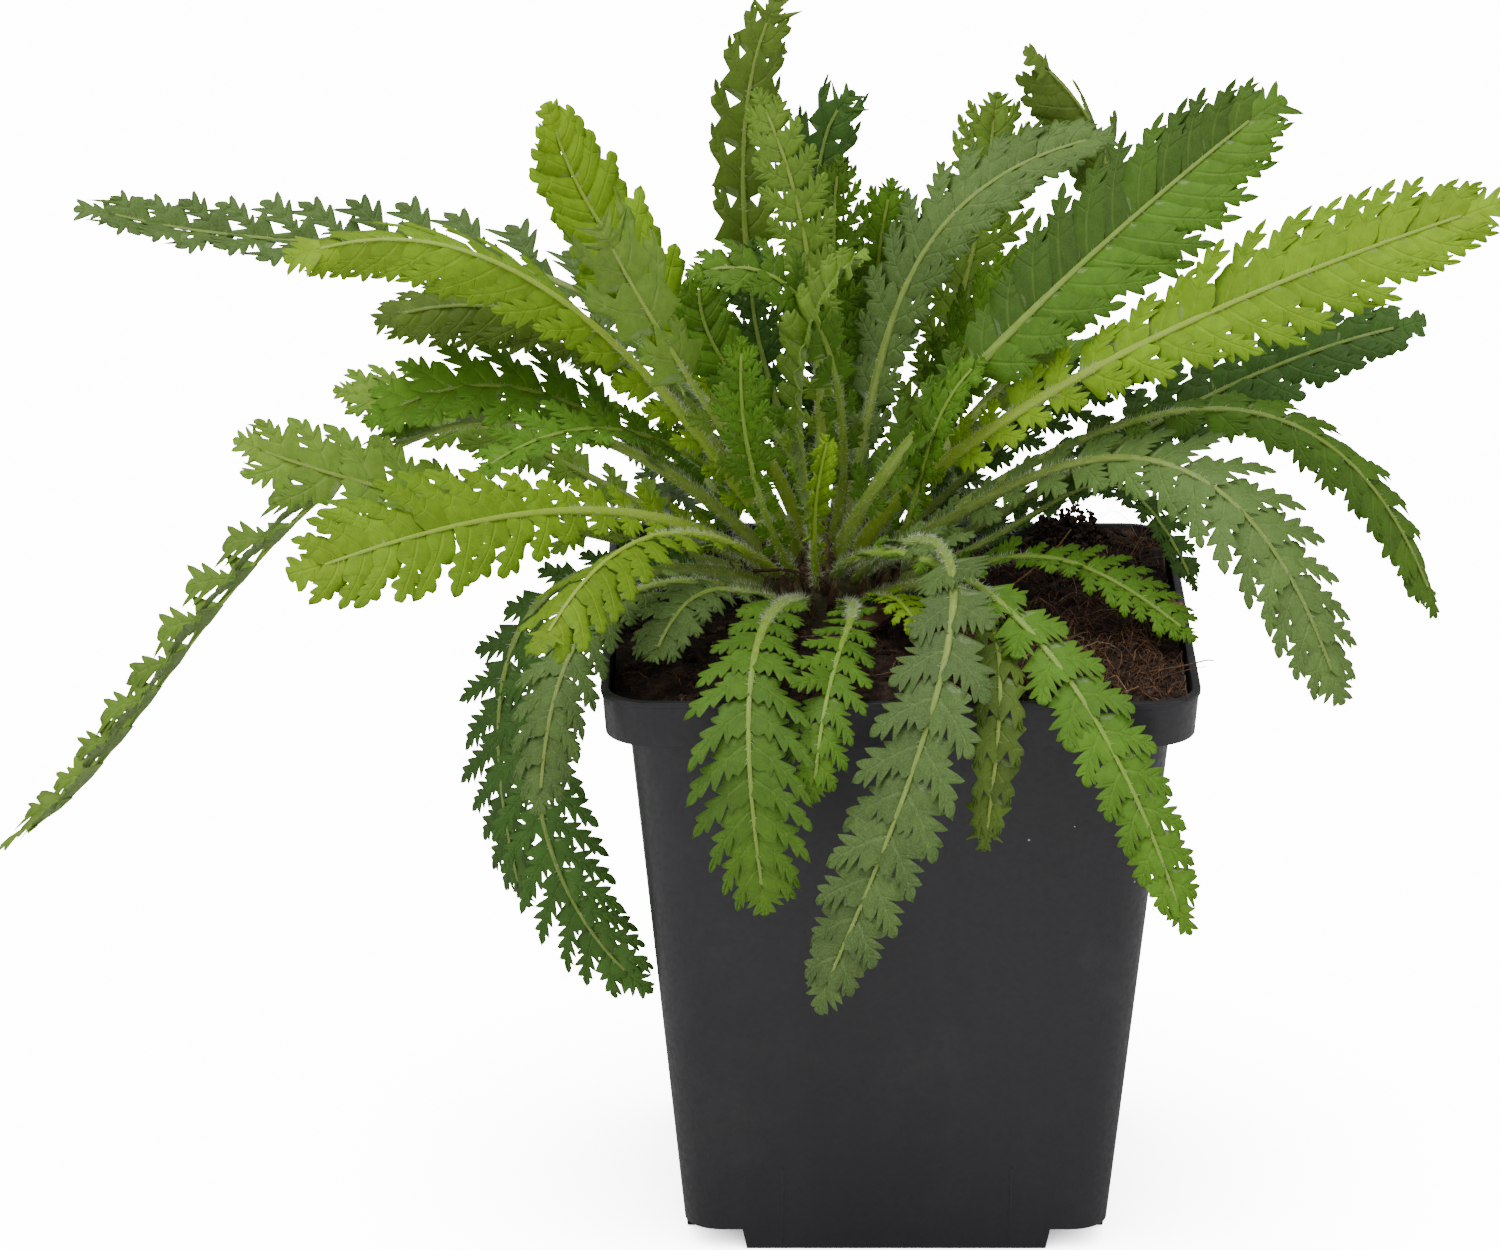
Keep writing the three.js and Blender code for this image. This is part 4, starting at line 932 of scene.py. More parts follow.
def curve_of(root, bend, tip):
    """The curve of a frond with places by length: out of the crown, through its bend, to its tip."""
    heading, rise = math.radians(root[0]), math.radians(root[1])
    out = Vector((math.cos(rise) * math.cos(heading), math.cos(rise) * math.sin(heading), math.sin(rise)))
    foot = CROWN + out * (CROWN_R + ROOT_OUT)
    a, b, c, d = foot, foot + out * root[2], Vector(bend), Vector(tip)

    def spot(t):
        s = 1 - t
        return a * s ** 3 + b * (3 * s * s * t) + c * (3 * s * t * t) + d * t ** 3

    def slope(t):
        s = 1 - t
        return ((b - a) * (s * s) + (c - b) * (2 * s * t) + (d - c) * (t * t)).normalized()

    spots = [spot(i / CURVE_STEPS) for i in range(CURVE_STEPS + 1)]
    sums = [0.0]
    for first, second in zip(spots, spots[1:]):
        sums.append(sums[-1] + (second - first).length)

    def place(along):
        target = along * sums[-1]
        i = min(max(bisect.bisect_right(sums, target) - 1, 0), CURVE_STEPS - 1)
        t = (i + (target - sums[i]) / (sums[i + 1] - sums[i])) / CURVE_STEPS
        return spot(t), slope(t)

    return place, sums[-1]


def spread(share, power=TIP_POWER):
    """The widths of the blade from its foot to its tip, as shares of the widest place."""
    return 0.5 + 0.5 * math.sin(math.radians(min(1, share * 2.1) * 90)) - 0.62 * share ** power


def leaflet_plane(frond, rear, front, side, lift, size):
    """Where the sheet of a leaflet lies: its start, its directions, its length and its share of the rib."""
    half, _, start, fold, *taper = frond["blade"]
    at, run, up, right = frond["frame"]((rear + front) / 2)
    pitch = frond["length"] * (front - rear)
    angle = math.radians(fold + lift)
    across = right * (side * math.cos(angle)) + up * math.sin(angle)
    out = across * math.cos(SWEEP) + run * math.sin(SWEEP)
    thick = (up * math.cos(angle) - right * (side * math.sin(angle))).normalized()
    length = half * spread((rear - start) / (1 - start), *taper) / math.cos(SWEEP) * size
    return {"start": at - run * (pitch / 2), "run": run, "out": out, "thick": thick, "length": length,
            "pitch": pitch, "side": side}


def as_in_solid(frond, rear, front, side, tree):
    """The leaflet with the lift and the size that its CAD solid has, found by the solid's corners."""
    best, best_error = None, 1e9
    for size in SHRINKS:
        for lift in LIFTS:
            plane = leaflet_plane(frond, rear, front, side, lift, size)
            error = 0
            for reach, forward in SOLID_CORNERS:
                corner = (plane["start"] + plane["out"] * (plane["length"] * reach)
                          + plane["run"] * (plane["pitch"] * forward) + plane["thick"] * SHEET)
                error = max(error, tree.find(corner)[2])
            if error < best_error:
                best, best_error = plane, error
            if best_error < GOOD_FIT:
                return best
    return best


def new_skin():
    return {"points": [], "faces": [], "marks": [], "maps": [], "tints": []}


def add_point(skin, at, leaf_map, tint):
    skin["points"].append(at)
    skin["maps"].append(leaf_map)
    skin["tints"].append(tint)
    return len(skin["points"]) - 1


def add_face(skin, corners, mark):
    skin["faces"].append(corners)
    skin["marks"].append(mark)


# Half the width of a leaflet along its mid vein: like a small fern, oblong, round at the end, narrow at its
# foot, or a slim finger. The ends are the last lobe of a leaflet.
FERN = ((0, 0.6), (0.12, 0.74), (0.3, 1.0), (0.5, 0.92), (0.68, 0.7), (0.84, 0.46), (1, 0.2))
OBLONG = ((0, 0.8), (0.3, 0.92), (0.56, 1.0), (0.72, 0.9), (0.86, 0.62), (1, 0.3))
BLUNT = ((0, 0.78), (0.3, 0.8), (0.52, 0.94), (0.7, 1.0), (0.84, 0.84), (1, 0.5))
OBOVATE = ((0, 0.2), (0.2, 0.3), (0.42, 0.8), (0.6, 1.0), (0.8, 0.8), (1, 0.34))
FINGER = ((0, 0.66), (0.25, 0.62), (0.5, 0.86), (0.7, 1.0), (0.86, 0.7), (1, 0.3))
POINTED_END = ((0.82, 0.24), (0.88, 0.31), (0.935, 0.23), (0.975, 0.12))
BLUNT_END = ((0.81, 0.44), (0.87, 0.52), (0.93, 0.44), (0.975, 0.26))
# The ways a blade is cut: how deep the dips between the lobes go (cut, 1 is no dip), over what share of
# their length neighbours are joined (web at the foot of the blade, tip_web at its tip), lobes on each side,
# the half width as a share of the pitch, how far the leaflet arches across (mm), its tilt onto the next
# one, and how far it bows forward.
STYLES = {
    "ferny": {"outline": FERN, "end": POINTED_END, "cut": 0.34, "web": 0.1, "tip_web": 0.3, "lobes": 4,
              "width": 0.45, "arch": 0.2, "tilt": 0.14, "bow": 0.14},
    "pointed": {"outline": FERN, "end": POINTED_END, "cut": 0.4, "web": 0.2, "tip_web": 0.42, "lobes": 3,
                "width": 0.46, "arch": 0.25, "tilt": 0.16, "bow": 0.18},
    "joined": {"outline": OBLONG, "end": POINTED_END, "cut": 0.5, "web": 0.32, "tip_web": 0.6, "lobes": 3,
               "width": 0.43, "arch": 0.4, "tilt": 0.14, "bow": 0.24},
    "broad": {"outline": OBLONG, "end": POINTED_END, "cut": 0.42, "web": 0.52, "tip_web": 0.62, "lobes": 3,
              "width": 0.45, "arch": 0.5, "tilt": 0.14, "bow": 0.2},
    "crenate": {"outline": BLUNT, "end": BLUNT_END, "cut": 0.6, "web": 0.28, "tip_web": 0.68, "lobes": 3,
                "width": 0.41, "arch": 0.4, "tilt": 0.1, "bow": 0.14},
    "quilted": {"outline": BLUNT, "end": BLUNT_END, "cut": 0.7, "web": 0.8, "tip_web": 0.82, "lobes": 3,
                "width": 0.5, "arch": 1.2, "tilt": 0.1, "bow": 0.14},
    "fingers": {"outline": FINGER, "end": POINTED_END, "cut": 0.62, "web": 0.16, "tip_web": 0.34,
                "lobes": 1, "width": 0.27, "arch": 0.15, "tilt": 0.1, "bow": 0.45},
    "stalked": {"outline": OBOVATE, "end": POINTED_END, "cut": 0.36, "web": 0.02, "tip_web": 0.5,
                "lobes": 3, "width": 0.5, "arch": 0.3, "tilt": 0.14, "bow": 0.26},
}
# The rows of points of one lobe: the share of the lobe, and how far the row reaches. The first row is the
# dip between two lobes.
SHARP_LOBE = ((0, 0), (0.4, 0.58), (0.72, 1.0), (0.9, 0.66))
ROUND_LOBE = ((0, 0), (0.22, 0.76), (0.5, 1.0), (0.78, 0.9))
LOBES_START = 0.08
LOBES_END = 0.8
SHARP_SLANT = 0.75
ROUND_SLANT = 0.35
LOBE_ROWS = 4
LEAF_THICK = 0.3
EDGE_THICK = 0.14
JOINED_REACH = 0.53
MID_VEIN_AT = 0.42
FOOT_SUNK = 0.45


def on_line(corners, share):
    for (low, first), (high, second) in zip(corners, corners[1:]):
        if share <= high:
            return first + (second - first) * (share - low) / (high - low)
    return corners[-1][1]


def leaflet_rows(style):
    """Rows from the rib to the tip: the place on the mid vein, the reach of the edge, its slant towards the
    tip, and whether the row ends in a tooth."""
    web, lobes = style["web"], style["lobes"]
    is_round = style["end"] is BLUNT_END
    slant = ROUND_SLANT if is_round else SHARP_SLANT
    start = max(LOBES_START, web * 0.6)
    joined_depth = JOINED_REACH / style["width"]
    foot_share = start * 0.5
    rows = [(0, 0, 0, 0), (foot_share, joined_depth if web * 0.7 > foot_share else 0.6, slant, 0)]
    for n in range(lobes):
        for phase, reach in ROUND_LOBE if is_round else SHARP_LOBE:
            share = start + (LOBES_END - start) * (n + phase) / lobes
            depth = (style["cut"] + (1 - style["cut"]) * reach) * on_line(style["outline"], share)
            joined = 1 - smoothstep(share, web * 0.75, web * 1.1)
            depth += max(0, joined_depth - depth) * joined
            rows.append((share, depth, slant, reach > 0.95))
    for n, (share, reach) in enumerate(style["end"]):
        rows.append((share, reach, 0.25, n == 3))
    return rows


def add_leaflet(skin, plane, style, wing, droop, twist, young, chance):
    """A thin lobed leaflet: rows of points run from its mid vein to the edge of the lobes and to the dips
    between them, above and below, closed by a rim."""
    length, pitch = plane["length"], plane["pitch"]
    out, run, thick, start = plane["out"], plane["run"], plane["thick"], plane["start"]
    ahead = (run - out * out.dot(run)).normalized()
    width = plane["width"]
    origin = start + run * (pitch * MID_VEIN_AT)
    rows = leaflet_rows(style)
    last = len(rows) - 1
    # Each leaflet's brightness: its frond's tone with painted light and shade, and a small random shift.
    tone_and_light_shift = 0.5 + style["shade"] + chance.uniform(-0.13, 0.13)
    arch = style["arch"] * chance.uniform(0.5, 1.3)
    sway = chance.uniform(-0.1, 0.1) + plane["yaw"]
    tilt = chance.uniform(-0.08, 0.08)
    curl = chance.uniform(-0.12, 0.25)

    def sheet_point(x, y, lift, thin, row, across, edge):
        share = max(0.0, x / length)
        grown = smoothstep(share, 0.05, 0.45)
        sunk = FOOT_SUNK * (1 - smoothstep(x, 0.4, 2.4))
        height = (lift - sunk + tilt * x - droop * length * share * share - curl * length * share ** 4 * 0.4
                  + grown * (twist * y - arch * (y / width) ** 2))
        at = origin + out * x + ahead * (y + sway * length * share * share) + thick * height
        tint = (tone_and_light_shift, young * (1 - 0.5 * share), edge, 1)
        top = add_point(skin, at + thick * (thin / 2), (row, across), tint)
        low = add_point(skin, at - thick * (thin / 2), (row, across), tint)
        return top, low

    middle = [(length * row[0], sheet_point(length * row[0], 0, -0.08, LEAF_THICK, int(row[3]), 0, 0))
              for row in rows]
    tip = sheet_point(length * chance.uniform(0.98, 1.04), 0, 0, EDGE_THICK, last + 1, 0, 1)
    edges = {}
    for direction in (-1, 1):
        inner, outer = [], []
        jitter = 1.0
        for n, (share, depth, slant, tooth) in enumerate(rows):
            x = middle[n][0]
            if n == 0:
                share = MID_VEIN_AT if direction < 0 else 1 - MID_VEIN_AT
                foot = run * (direction * pitch * share)
                foot_x, foot_y = foot.dot(out), foot.dot(ahead)
                inner.append(sheet_point(foot_x / 2, foot_y / 2, 0, LEAF_THICK, 0, direction * 0.5, 0))
                outer.append(sheet_point(foot_x, foot_y, 0, EDGE_THICK, 0, direction, 0))
                continue
            if n % LOBE_ROWS == 2:
                jitter = chance.uniform(0.8, 1.14)
            reach = width * depth * jitter
            if n <= 2:
                reach = max(reach, wing * pitch * 0.44)
            lifted = 0.08 if tooth else 0.16
            vein_row = 1 if tooth else 0
            inner.append(sheet_point(x + 0.5 * reach * slant, direction * 0.5 * reach, lifted,
                                     LEAF_THICK * 0.8, vein_row, direction * 0.5, 0))
            outer.append(sheet_point(x + reach * slant, direction * reach, -0.04,
                                     EDGE_THICK, vein_row, direction, tooth))
        edges[direction] = (inner, outer)

    def surface(level, mark, flip):
        for direction in (-1, 1):
            inner, outer = edges[direction]
            turned = (direction > 0) == flip
            for n in range(last):
                quads = ((middle[n][1], middle[n + 1][1], inner[n + 1], inner[n]),
                         (inner[n], inner[n + 1], outer[n + 1], outer[n]))
                for quad in quads:
                    corners = [p[level] for p in quad]
                    add_face(skin, corners[::-1] if turned else corners, mark)
            for corner_set in ((middle[last][1], tip, inner[last]), (inner[last], tip, outer[last])):
                corners = [p[level] for p in corner_set]
                add_face(skin, corners[::-1] if turned else corners, mark)

    right_handed = out.cross(ahead).dot(thick) > 0
    surface(0, UPPER, right_handed is False)
    surface(1, UNDER, right_handed)
    ring = [edges[-1][0][0], edges[-1][1][0], *edges[-1][1][1:], tip, *edges[1][1][:0:-1],
            edges[1][1][0], edges[1][0][0], middle[0][1]]
    for first, second in zip(ring, ring[1:] + ring[:1]):
        corners = [first[0], first[1], second[1], second[0]]
        add_face(skin, corners if right_handed else corners[::-1], UPPER)


STALK_SIDES = 10
GROOVE = (1.0, 1.0, 0.9, 0.66, 0.9, 1.0, 1.0, 1.0, 1.0, 1.0)


def rib_half(frond, along):
    start = PETIOLE_THIN + PETIOLE_GROWTH * frond["blade"][0]
    solid_half = start + (RIB_TIP - start) * min(1, along * 1.05)
    return solid_half * (1 - 0.4 * smoothstep(along, frond["blade"][2] * 0.4, 0.7))


def add_stalk(skin, frond, marks):
    """The stalk and the rib as one closed, grooved tube that starts inside the crown."""
    start = marks[0]
    places = [start * i / 14 for i in range(14)]
    for rear, front in zip(marks, marks[1:]):
        places.extend((rear, (rear + front) / 2))
    places.append(marks[-1])
    rings = []
    for n, along in enumerate(places):
        at, run, up, right = frond["frame"](along)
        half = rib_half(frond, along)
        if n == 0:
            at = at - run * 1.3
        flare = 1 + 0.25 * max(0, 1 - along / 0.05)
        ring = []
        for k in range(STALK_SIDES):
            turn = 2 * math.pi * (k + 0.5) / STALK_SIDES
            wide = math.cos(turn) * half * flare
            tall = math.sin(turn) * half * RIB_FLAT * GROOVE[(k + 1) % STALK_SIDES]
            ring.append(add_point(skin, at + right * wide + up * tall,
                                  (along * frond["length"], k / STALK_SIDES), (0.5, 0.3, 0, 1)))
        rings.append(ring)
    for ring, next_ring in zip(rings, rings[1:]):
        for k in range(STALK_SIDES):
            m = (k + 1) % STALK_SIDES
            add_face(skin, (ring[m], ring[k], next_ring[k], next_ring[m]), STALK)
    add_face(skin, tuple(rings[0]), STALK)
    add_face(skin, tuple(reversed(rings[-1])), STALK)


def add_hair(skin, at, toward, length, thickness):
    """A single hair: a spike with three sides."""
    first = toward.orthogonal().normalized() * thickness
    second = toward.cross(first)
    base = [add_point(skin, at + first * math.cos(t) + second * math.sin(t), (0, 0), (0.5, 0, 0, 1))
            for t in (0, 2.094, 4.189)]
    tip = add_point(skin, at + toward * length, (0, 0), (0.5, 0, 0, 1))
    a, b, c = base
    for corners in ((a, b, tip), (b, c, tip), (c, a, tip), (c, b, a)):
        add_face(skin, corners, HAIR)


HAIRS_PER_MM = 9
HAIR_LENGTHS = (0.5, 1.9)
HAIR_THICK = 0.035


def add_hairs(skin, frond, chance):
    """The soft white hairs, dense on the stalk and few on the rib."""
    for number in range(int(frond["length"] * HAIRS_PER_MM)):
        along = chance.random() * (frond["blade"][2] * 1.1 if number % 4 else 0.97)
        at, run, up, right = frond["frame"](along)
        half = rib_half(frond, along)
        turn = chance.uniform(0, 2 * math.pi)
        normal = right * math.cos(turn) + up * math.sin(turn)
        foot = at + right * (math.cos(turn) * half * 0.95) + up * (math.sin(turn) * half * RIB_FLAT * 0.9)
        toward = (normal + run * chance.uniform(0.1, 1.1) + right * chance.uniform(-0.4, 0.4)).normalized()
        add_hair(skin, foot, toward, chance.uniform(*HAIR_LENGTHS) * (1 - 0.6 * along), HAIR_THICK)


# Points all over the CAD solids, a millimetre apart along their edges, so that the small leaflets of a stalk
# keep clear of the other fronds.
SAMPLE_STEP = 1.0
FREE_GAP = 0.8
solid_samples = []
for node_name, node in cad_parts.items():
    spots = [v.co / MM for v in node.data.vertices]
    for edge in node.data.edges:
        first, second = (spots[i] for i in edge.vertices)
        steps = max(1, int((second - first).length / SAMPLE_STEP))
        solid_samples.extend((first.lerp(second, i / steps), node_name) for i in range(steps))
around = kdtree.KDTree(len(solid_samples))
for sample_number, (spot, _) in enumerate(solid_samples):
    around.insert(spot, sample_number)
around.balance()


def is_free(plane, own):
    """Whether the outer half of a leaflet is clear of all solids but its own."""
    for reach, forward in ((0.5, 0.5), (0.8, 0.2), (0.8, 0.8), (1.05, 0.5)):
        spot = (plane["start"] + plane["out"] * (plane["length"] * reach)
                + plane["run"] * (plane["pitch"] * forward))
        for _, number, _ in around.find_range(spot, FREE_GAP):
            if solid_samples[number][1] != own:
                return False
    return True


STALK_LEAFLET_SIZE = 0.55
STALK_LEAFLET_SHRINK = 0.87
STALK_BARE_BELOW = 0.24


def add_stalk_leaflets(skin, frond, name, shade, chance):
    """The small leaflets that many stalks carry below the blade, smaller towards the foot."""
    half, pairs, start = frond["blade"][:3]
    pitch = (BLADE_END - start) / pairs * 1.15
    along = start - pitch
    size = STALK_LEAFLET_SIZE
    small_style = dict(STYLES["ferny"], lobes=2, shade=shade)
    while along > start * STALK_BARE_BELOW:
        for side in (-1, 1):
            for lift in (chance.uniform(-5, 20), chance.uniform(30, 60), chance.uniform(-50, -20)):
                plane = leaflet_plane(frond, along, along + pitch * 0.8, side, lift, 1)
                plane["length"] = half * size * chance.uniform(0.75, 1.15) + 1.5
                plane["pitch"] = min(plane["pitch"], plane["length"] * 0.7)
                plane["width"] = plane["pitch"] * 0.55
                plane["yaw"] = 0.2
                if is_free(plane, name):
                    twist = chance.uniform(-0.2, 0.2)
                    add_leaflet(skin, plane, small_style, 0.2, 0.05, twist, 0.3, chance)
                    break
        along -= pitch
        size *= STALK_LEAFLET_SHRINK


TIP_BOW = 0.22
WEB_POWER = 2.5


def grow(name, root, bend, tip, face, blade, tone, style_name, shade=0.0, side_shade=0.0):
    """Builds one frond over its CAD solid. shade makes it a little lighter or darker than its tone: partly
    its own tone, partly painted light and shade for how brightly it is lit. side_shade makes one half of the
    blade
    lighter and the other darker: painted light and painted shade."""
    chance = random.Random(name)
    place, length = curve_of(root, bend, tip)
    first_face, last_face = Vector(face[0]).normalized(), Vector(face[1]).normalized()
    half, pairs, start = blade[:3]

    def frame_at(along):
        at, run = place(along)
        up = first_face.lerp(last_face, smoothstep(along, start * 0.5, 1))
        up = (up - run * up.dot(run)).normalized()
        return at, run, up, run.cross(up)

    frond = {"blade": blade, "length": length, "frame": frame_at}
    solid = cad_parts[name]
    tree = kdtree.KDTree(len(solid.data.vertices))
    for i, spot in enumerate(solid.data.vertices):
        tree.insert(spot.co / MM, i)
    tree.balance()
    skin = new_skin()
    style = dict(STYLES[style_name], shade=shade)
    marks = []
    for i in range(pairs + 1):
        share = i / pairs
        marks.append(start + (BLADE_END - start) * (share + CROWDING * share * (1 - share)))
    add_stalk(skin, frond, marks)
    for k, (rear, front) in enumerate(zip(marks, marks[1:])):
        share = k / pairs
        wing = 0.35 + 0.6 * share ** 2
        for side in (-1, 1):
            plane = as_in_solid(frond, rear, front, side, tree)
            plane["width"] = style["width"] * plane["pitch"]
            plane["yaw"] = style["bow"] + TIP_BOW * share ** 2
            plane["length"] *= 1.04 - 0.22 * smoothstep(share, 0.7, 1)
            web = style["web"] + (style["tip_web"] - style["web"]) * share ** WEB_POWER
            room = plane["length"] * (1 - web)
            lobes = min(style["lobes"], 1 if room < 3 else 2 if room < 6 else 3 if room < 9.5 else 4)
            # side_shade paints one half of the blade darker and the other lighter.
            form = dict(style, web=web, lobes=lobes, shade=shade + side * side_shade)
            add_leaflet(skin, plane, form, wing, chance.uniform(0.03, 0.14),
                        style["tilt"] + chance.uniform(-0.12, 0.12), 0.15 + 0.5 * share ** 3, chance)
    at, run, up, right = frame_at(marks[-1])
    end_length = length * (1 - marks[-1]) + 0.22 * half
    add_leaflet(skin, {"start": at - right * (0.1 * half), "run": right, "out": run, "thick": up,
                       "length": end_length, "pitch": 0.25 * half, "side": 1, "width": 0.26 * half,
                       "yaw": 0},
                dict(style, web=0.1, lobes=2), 0.5, 0.05, 0, 0.6, chance)
    add_stalk_leaflets(skin, frond, name, shade, chance)
    add_hairs(skin, frond, chance)
    piece = mesh_piece("frond_" + name, skin["points"], skin["faces"], FINISHES[tone], skin["marks"],
                       SMOOTH_BELOW)
    corner_points = np.empty(len(piece.data.loops), np.int32)
    piece.data.loops.foreach_get("vertex_index", corner_points)
    layer = piece.data.uv_layers.new(name="leaflet")
    layer.data.foreach_set("uv", np.array(skin["maps"], np.float32)[corner_points].ravel())
    tints = piece.data.color_attributes.new("tint", "FLOAT_COLOR", "POINT")
    tints.data.foreach_set("color", np.array(skin["tints"], np.float32).ravel())
    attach(piece, "root")
    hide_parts(name)


grow("left_hang_side", (188, 20, 34), (-86, -3, 122), (-71, -6, 58),
     ((-0.3, -0.7, 0.7), (-0.8, -0.6, 0.1)), (10.5, 9, 0.4, 10), "dark", "ferny", -0.05)
grow("left_hang_tip", (206, 24, 62), (-78, -20, 70), (-48, -28, 49),
     ((-0.3, -0.8, 0.6), (-0.1, -1, 0.2)), (12, 11, 0.36, 0), "dark", "ferny", 0.3)
grow("left_rim", (223, 20, 26), (-64, -44, 140), (-66, -54, 94),
     ((-0.2, -0.6, 0.8), (-0.2, -1, 0.3)), (9.5, 9, 0.38, -8), "grey", "pointed", -0.1)
grow("left_near", (224, 37, 26), (-52, -50, 150), (-65, -73, 131),
     ((-0.3, -0.3, 0.9), (-0.3, -0.8, 0.6)), (11, 8, 0.45, -24), "fresh", "crenate", -0.3)
grow("left_sweep", (203, 38, 34), (-78, -46, 148), (-108, -58, 140),
     ((0, -0.8, 0.7), (0.1, -0.9, 0.4)), (14, 10, 0.42, 4), "fresh", "crenate", -0.2)


# The upper fronds of the left side: they arch out over the rim and face upwards, and one of them drops
# its tip far below the others.
grow("left_behind", (171, 19, 28), (-88, -4, 134), (-121, -12, 150),
     ((0.1, -0.6, 0.8), (0.3, -0.8, 0.5)), (12.5, 6, 0.42, 6, 2.6), "pale", "pointed", 0.05)
grow("left_drooper", (180, 45, 116), (-140, 0, 70), (-169, -10, 73),
     ((-0.4, -0.2, 0.9), (-0.8, -0.2, 0.5)), (10, 11, 0.38, 46, 2.2), "pale", "stalked", -0.12)
grow("left_spiky", (192, 57, 28), (-58, -2, 158), (-78, -6, 143),
     ((0.1, -0.5, 0.9), (-0.3, -0.6, 0.8)), (8, 7, 0.4, 25), "bright", "ferny", 0.1)
grow("left_level", (155, 37, 32), (-70, 12, 166), (-98, 9, 149),
     ((0.3, -0.5, 0.9), (0, -0.7, 0.8)), (12, 7, 0.3, 14, 2.6), "bright", "pointed", 0.2)
grow("left_level_back", (152, 19, 28), (-78, 32, 145), (-105, 26, 149),
     ((0.1, -0.5, 0.9), (0.1, -0.6, 0.8)), (10.5, 7, 0.42, 10), "pale", "pointed", 0.1)
grow("left_olive", (161, 56, 40), (-66, 16, 176), (-96, 8, 169),
     ((0.5, -0.4, 0.7), (0.1, -0.7, 0.8)), (11, 9, 0.4, -16), "olive", "joined")
grow("left_arch", (216, 54, 42), (-70, -2, 199), (-111, -8, 185.5),
     ((0.5, -0.4, 0.7), (-0.1, -0.7, 0.7)), (13.5, 10, 0.42, -34, 1.9), "fresh", "joined", -0.12)
grow("left_top", (138, 54, 84), (-98, 46, 163), (-154, 36, 183),
     ((0.3, -0.6, 0.8), (-0.1, -0.6, 0.8)), (11.5, 12, 0.3, 30, 1.8), "grey", "stalked", -0.05)


# The upright fronds on the left of the middle: younger leaves that stand close together, some of them
# still folded along the rib.
grow("quilted_tall", (200, 74, 30), (-59, 11, 180), (-64.5, 8, 208),
     ((0.4, -0.8, 0.4), (0.5, -0.8, 0.3)), (12, 10, 0.4, 20, 2.4), "fresh", "quilted")
grow("few_lobed", (238, 55, 24), (-44, -11, 168), (-54, -15, 191),
     ((0.2, -0.9, 0.4), (0.3, -0.9, 0.3)), (13, 3, 0.58, 4), "pale", "fingers", -0.12)
grow("quilted_short", (256, 74, 26), (-39, 3, 160), (-37, 3, 178),
     ((0.3, -0.9, 0.3), (0.1, -1, 0.2)), (6.5, 7, 0.4, 20), "bright", "quilted", -0.05)
grow("dark_upright", (130, 74, 26), (-29, 22, 160), (-27, 24, 178),
     ((0.2, -0.9, 0.3), (0, -1, 0.2)), (8, 7, 0.4, 14), "dark", "ferny")
grow("spiky_upright", (245, 37, 13), (-31, -13, 152), (-29, -13, 170),
     ((0, -0.9, 0.4), (0, -1, 0.2)), (6.5, 7, 0.42, 20), "bright", "ferny")
grow("tallest", (118, 57, 34), (-35, 34, 198), (-23, 33, 223),
     ((0.1, -1, 0.1), (0, -1, 0.2)), (10, 6, 0.42, 4, 2.6), "olive", "fingers")
grow("bowed_left", (308, 74, 26), (-12, -5, 190), (-38, -12, 183),
     ((0.2, -0.9, 0.4), (0.3, -0.8, 0.6)), (7.5, 7, 0.42, 10), "mid", "pointed")
grow("pale_upright", (0, 90, 30), (-14, 13, 186), (-26, 11, 211),
     ((0.1, -1, 0.2), (0.1, -1, 0.2)), (8, 7, 0.46, 12, 2.4), "pale", "pointed")
grow("dark_forked", (88, 56, 30), (-20, 38, 196), (-9, 36, 204),
     ((0, -1, 0.1), (-0.2, -0.9, 0.2)), (9, 4, 0.6, 6), "dark", "fingers")
grow("middle_tuft", (55, 74, 26), (-14, 20, 170), (-11, 19, 196),
     ((0, -1, 0.2), (0.1, -1, 0.2)), (8, 8, 0.42, 12), "mid", "ferny")
grow("middle_tuft_right", (58, 56, 24), (-6, 24, 168), (-1, 24, 190),
     ((-0.1, -1, 0.2), (0, -1, 0.3)), (8.5, 8, 0.32, 12), "bright", "pointed")
grow("furled_tall", (264, 52, 14), (-26, -8, 172), (-7, -9, 186),
     ((-0.9, -0.5, 0.1), (-0.8, -0.5, 0.3)), (6, 9, 0.42, 45), "pale", "quilted")
grow("furled_short", (266, 34, 9), (-17, -9, 136), (-13, -8, 150),
     ((0.5, -0.8, 0.2), (0.5, -0.8, 0.2)), (3.5, 6, 0.4, 40), "fresh", "quilted")


# The fronds of the right side, from the highest to the lowest: broad arching blades above, two that fall
# down beside the pot, and short ones over the peat.
grow("right_pale_back", (24, 57, 30), (18, 40, 176), (19, 40, 202),
     ((-0.2, -0.9, 0.3), (0, -1, 0.2)), (12, 9, 0.34, 8), "pale", "pointed")
grow("right_grey_long", (0, 74, 30), (-6, 16, 192), (39, 24, 200),
     ((-0.4, -0.8, 0.4), (-0.2, -0.7, 0.7)), (11, 11, 0.26, 16, 2.4), "grey", "joined")
grow("right_hooked", (350, 56, 40), (64, 42, 180), (26, 28, 214),
     ((-0.5, -0.7, 0.4), (0.4, -0.5, 0.7)), (12, 8, 0.46, -42), "olive", "crenate")
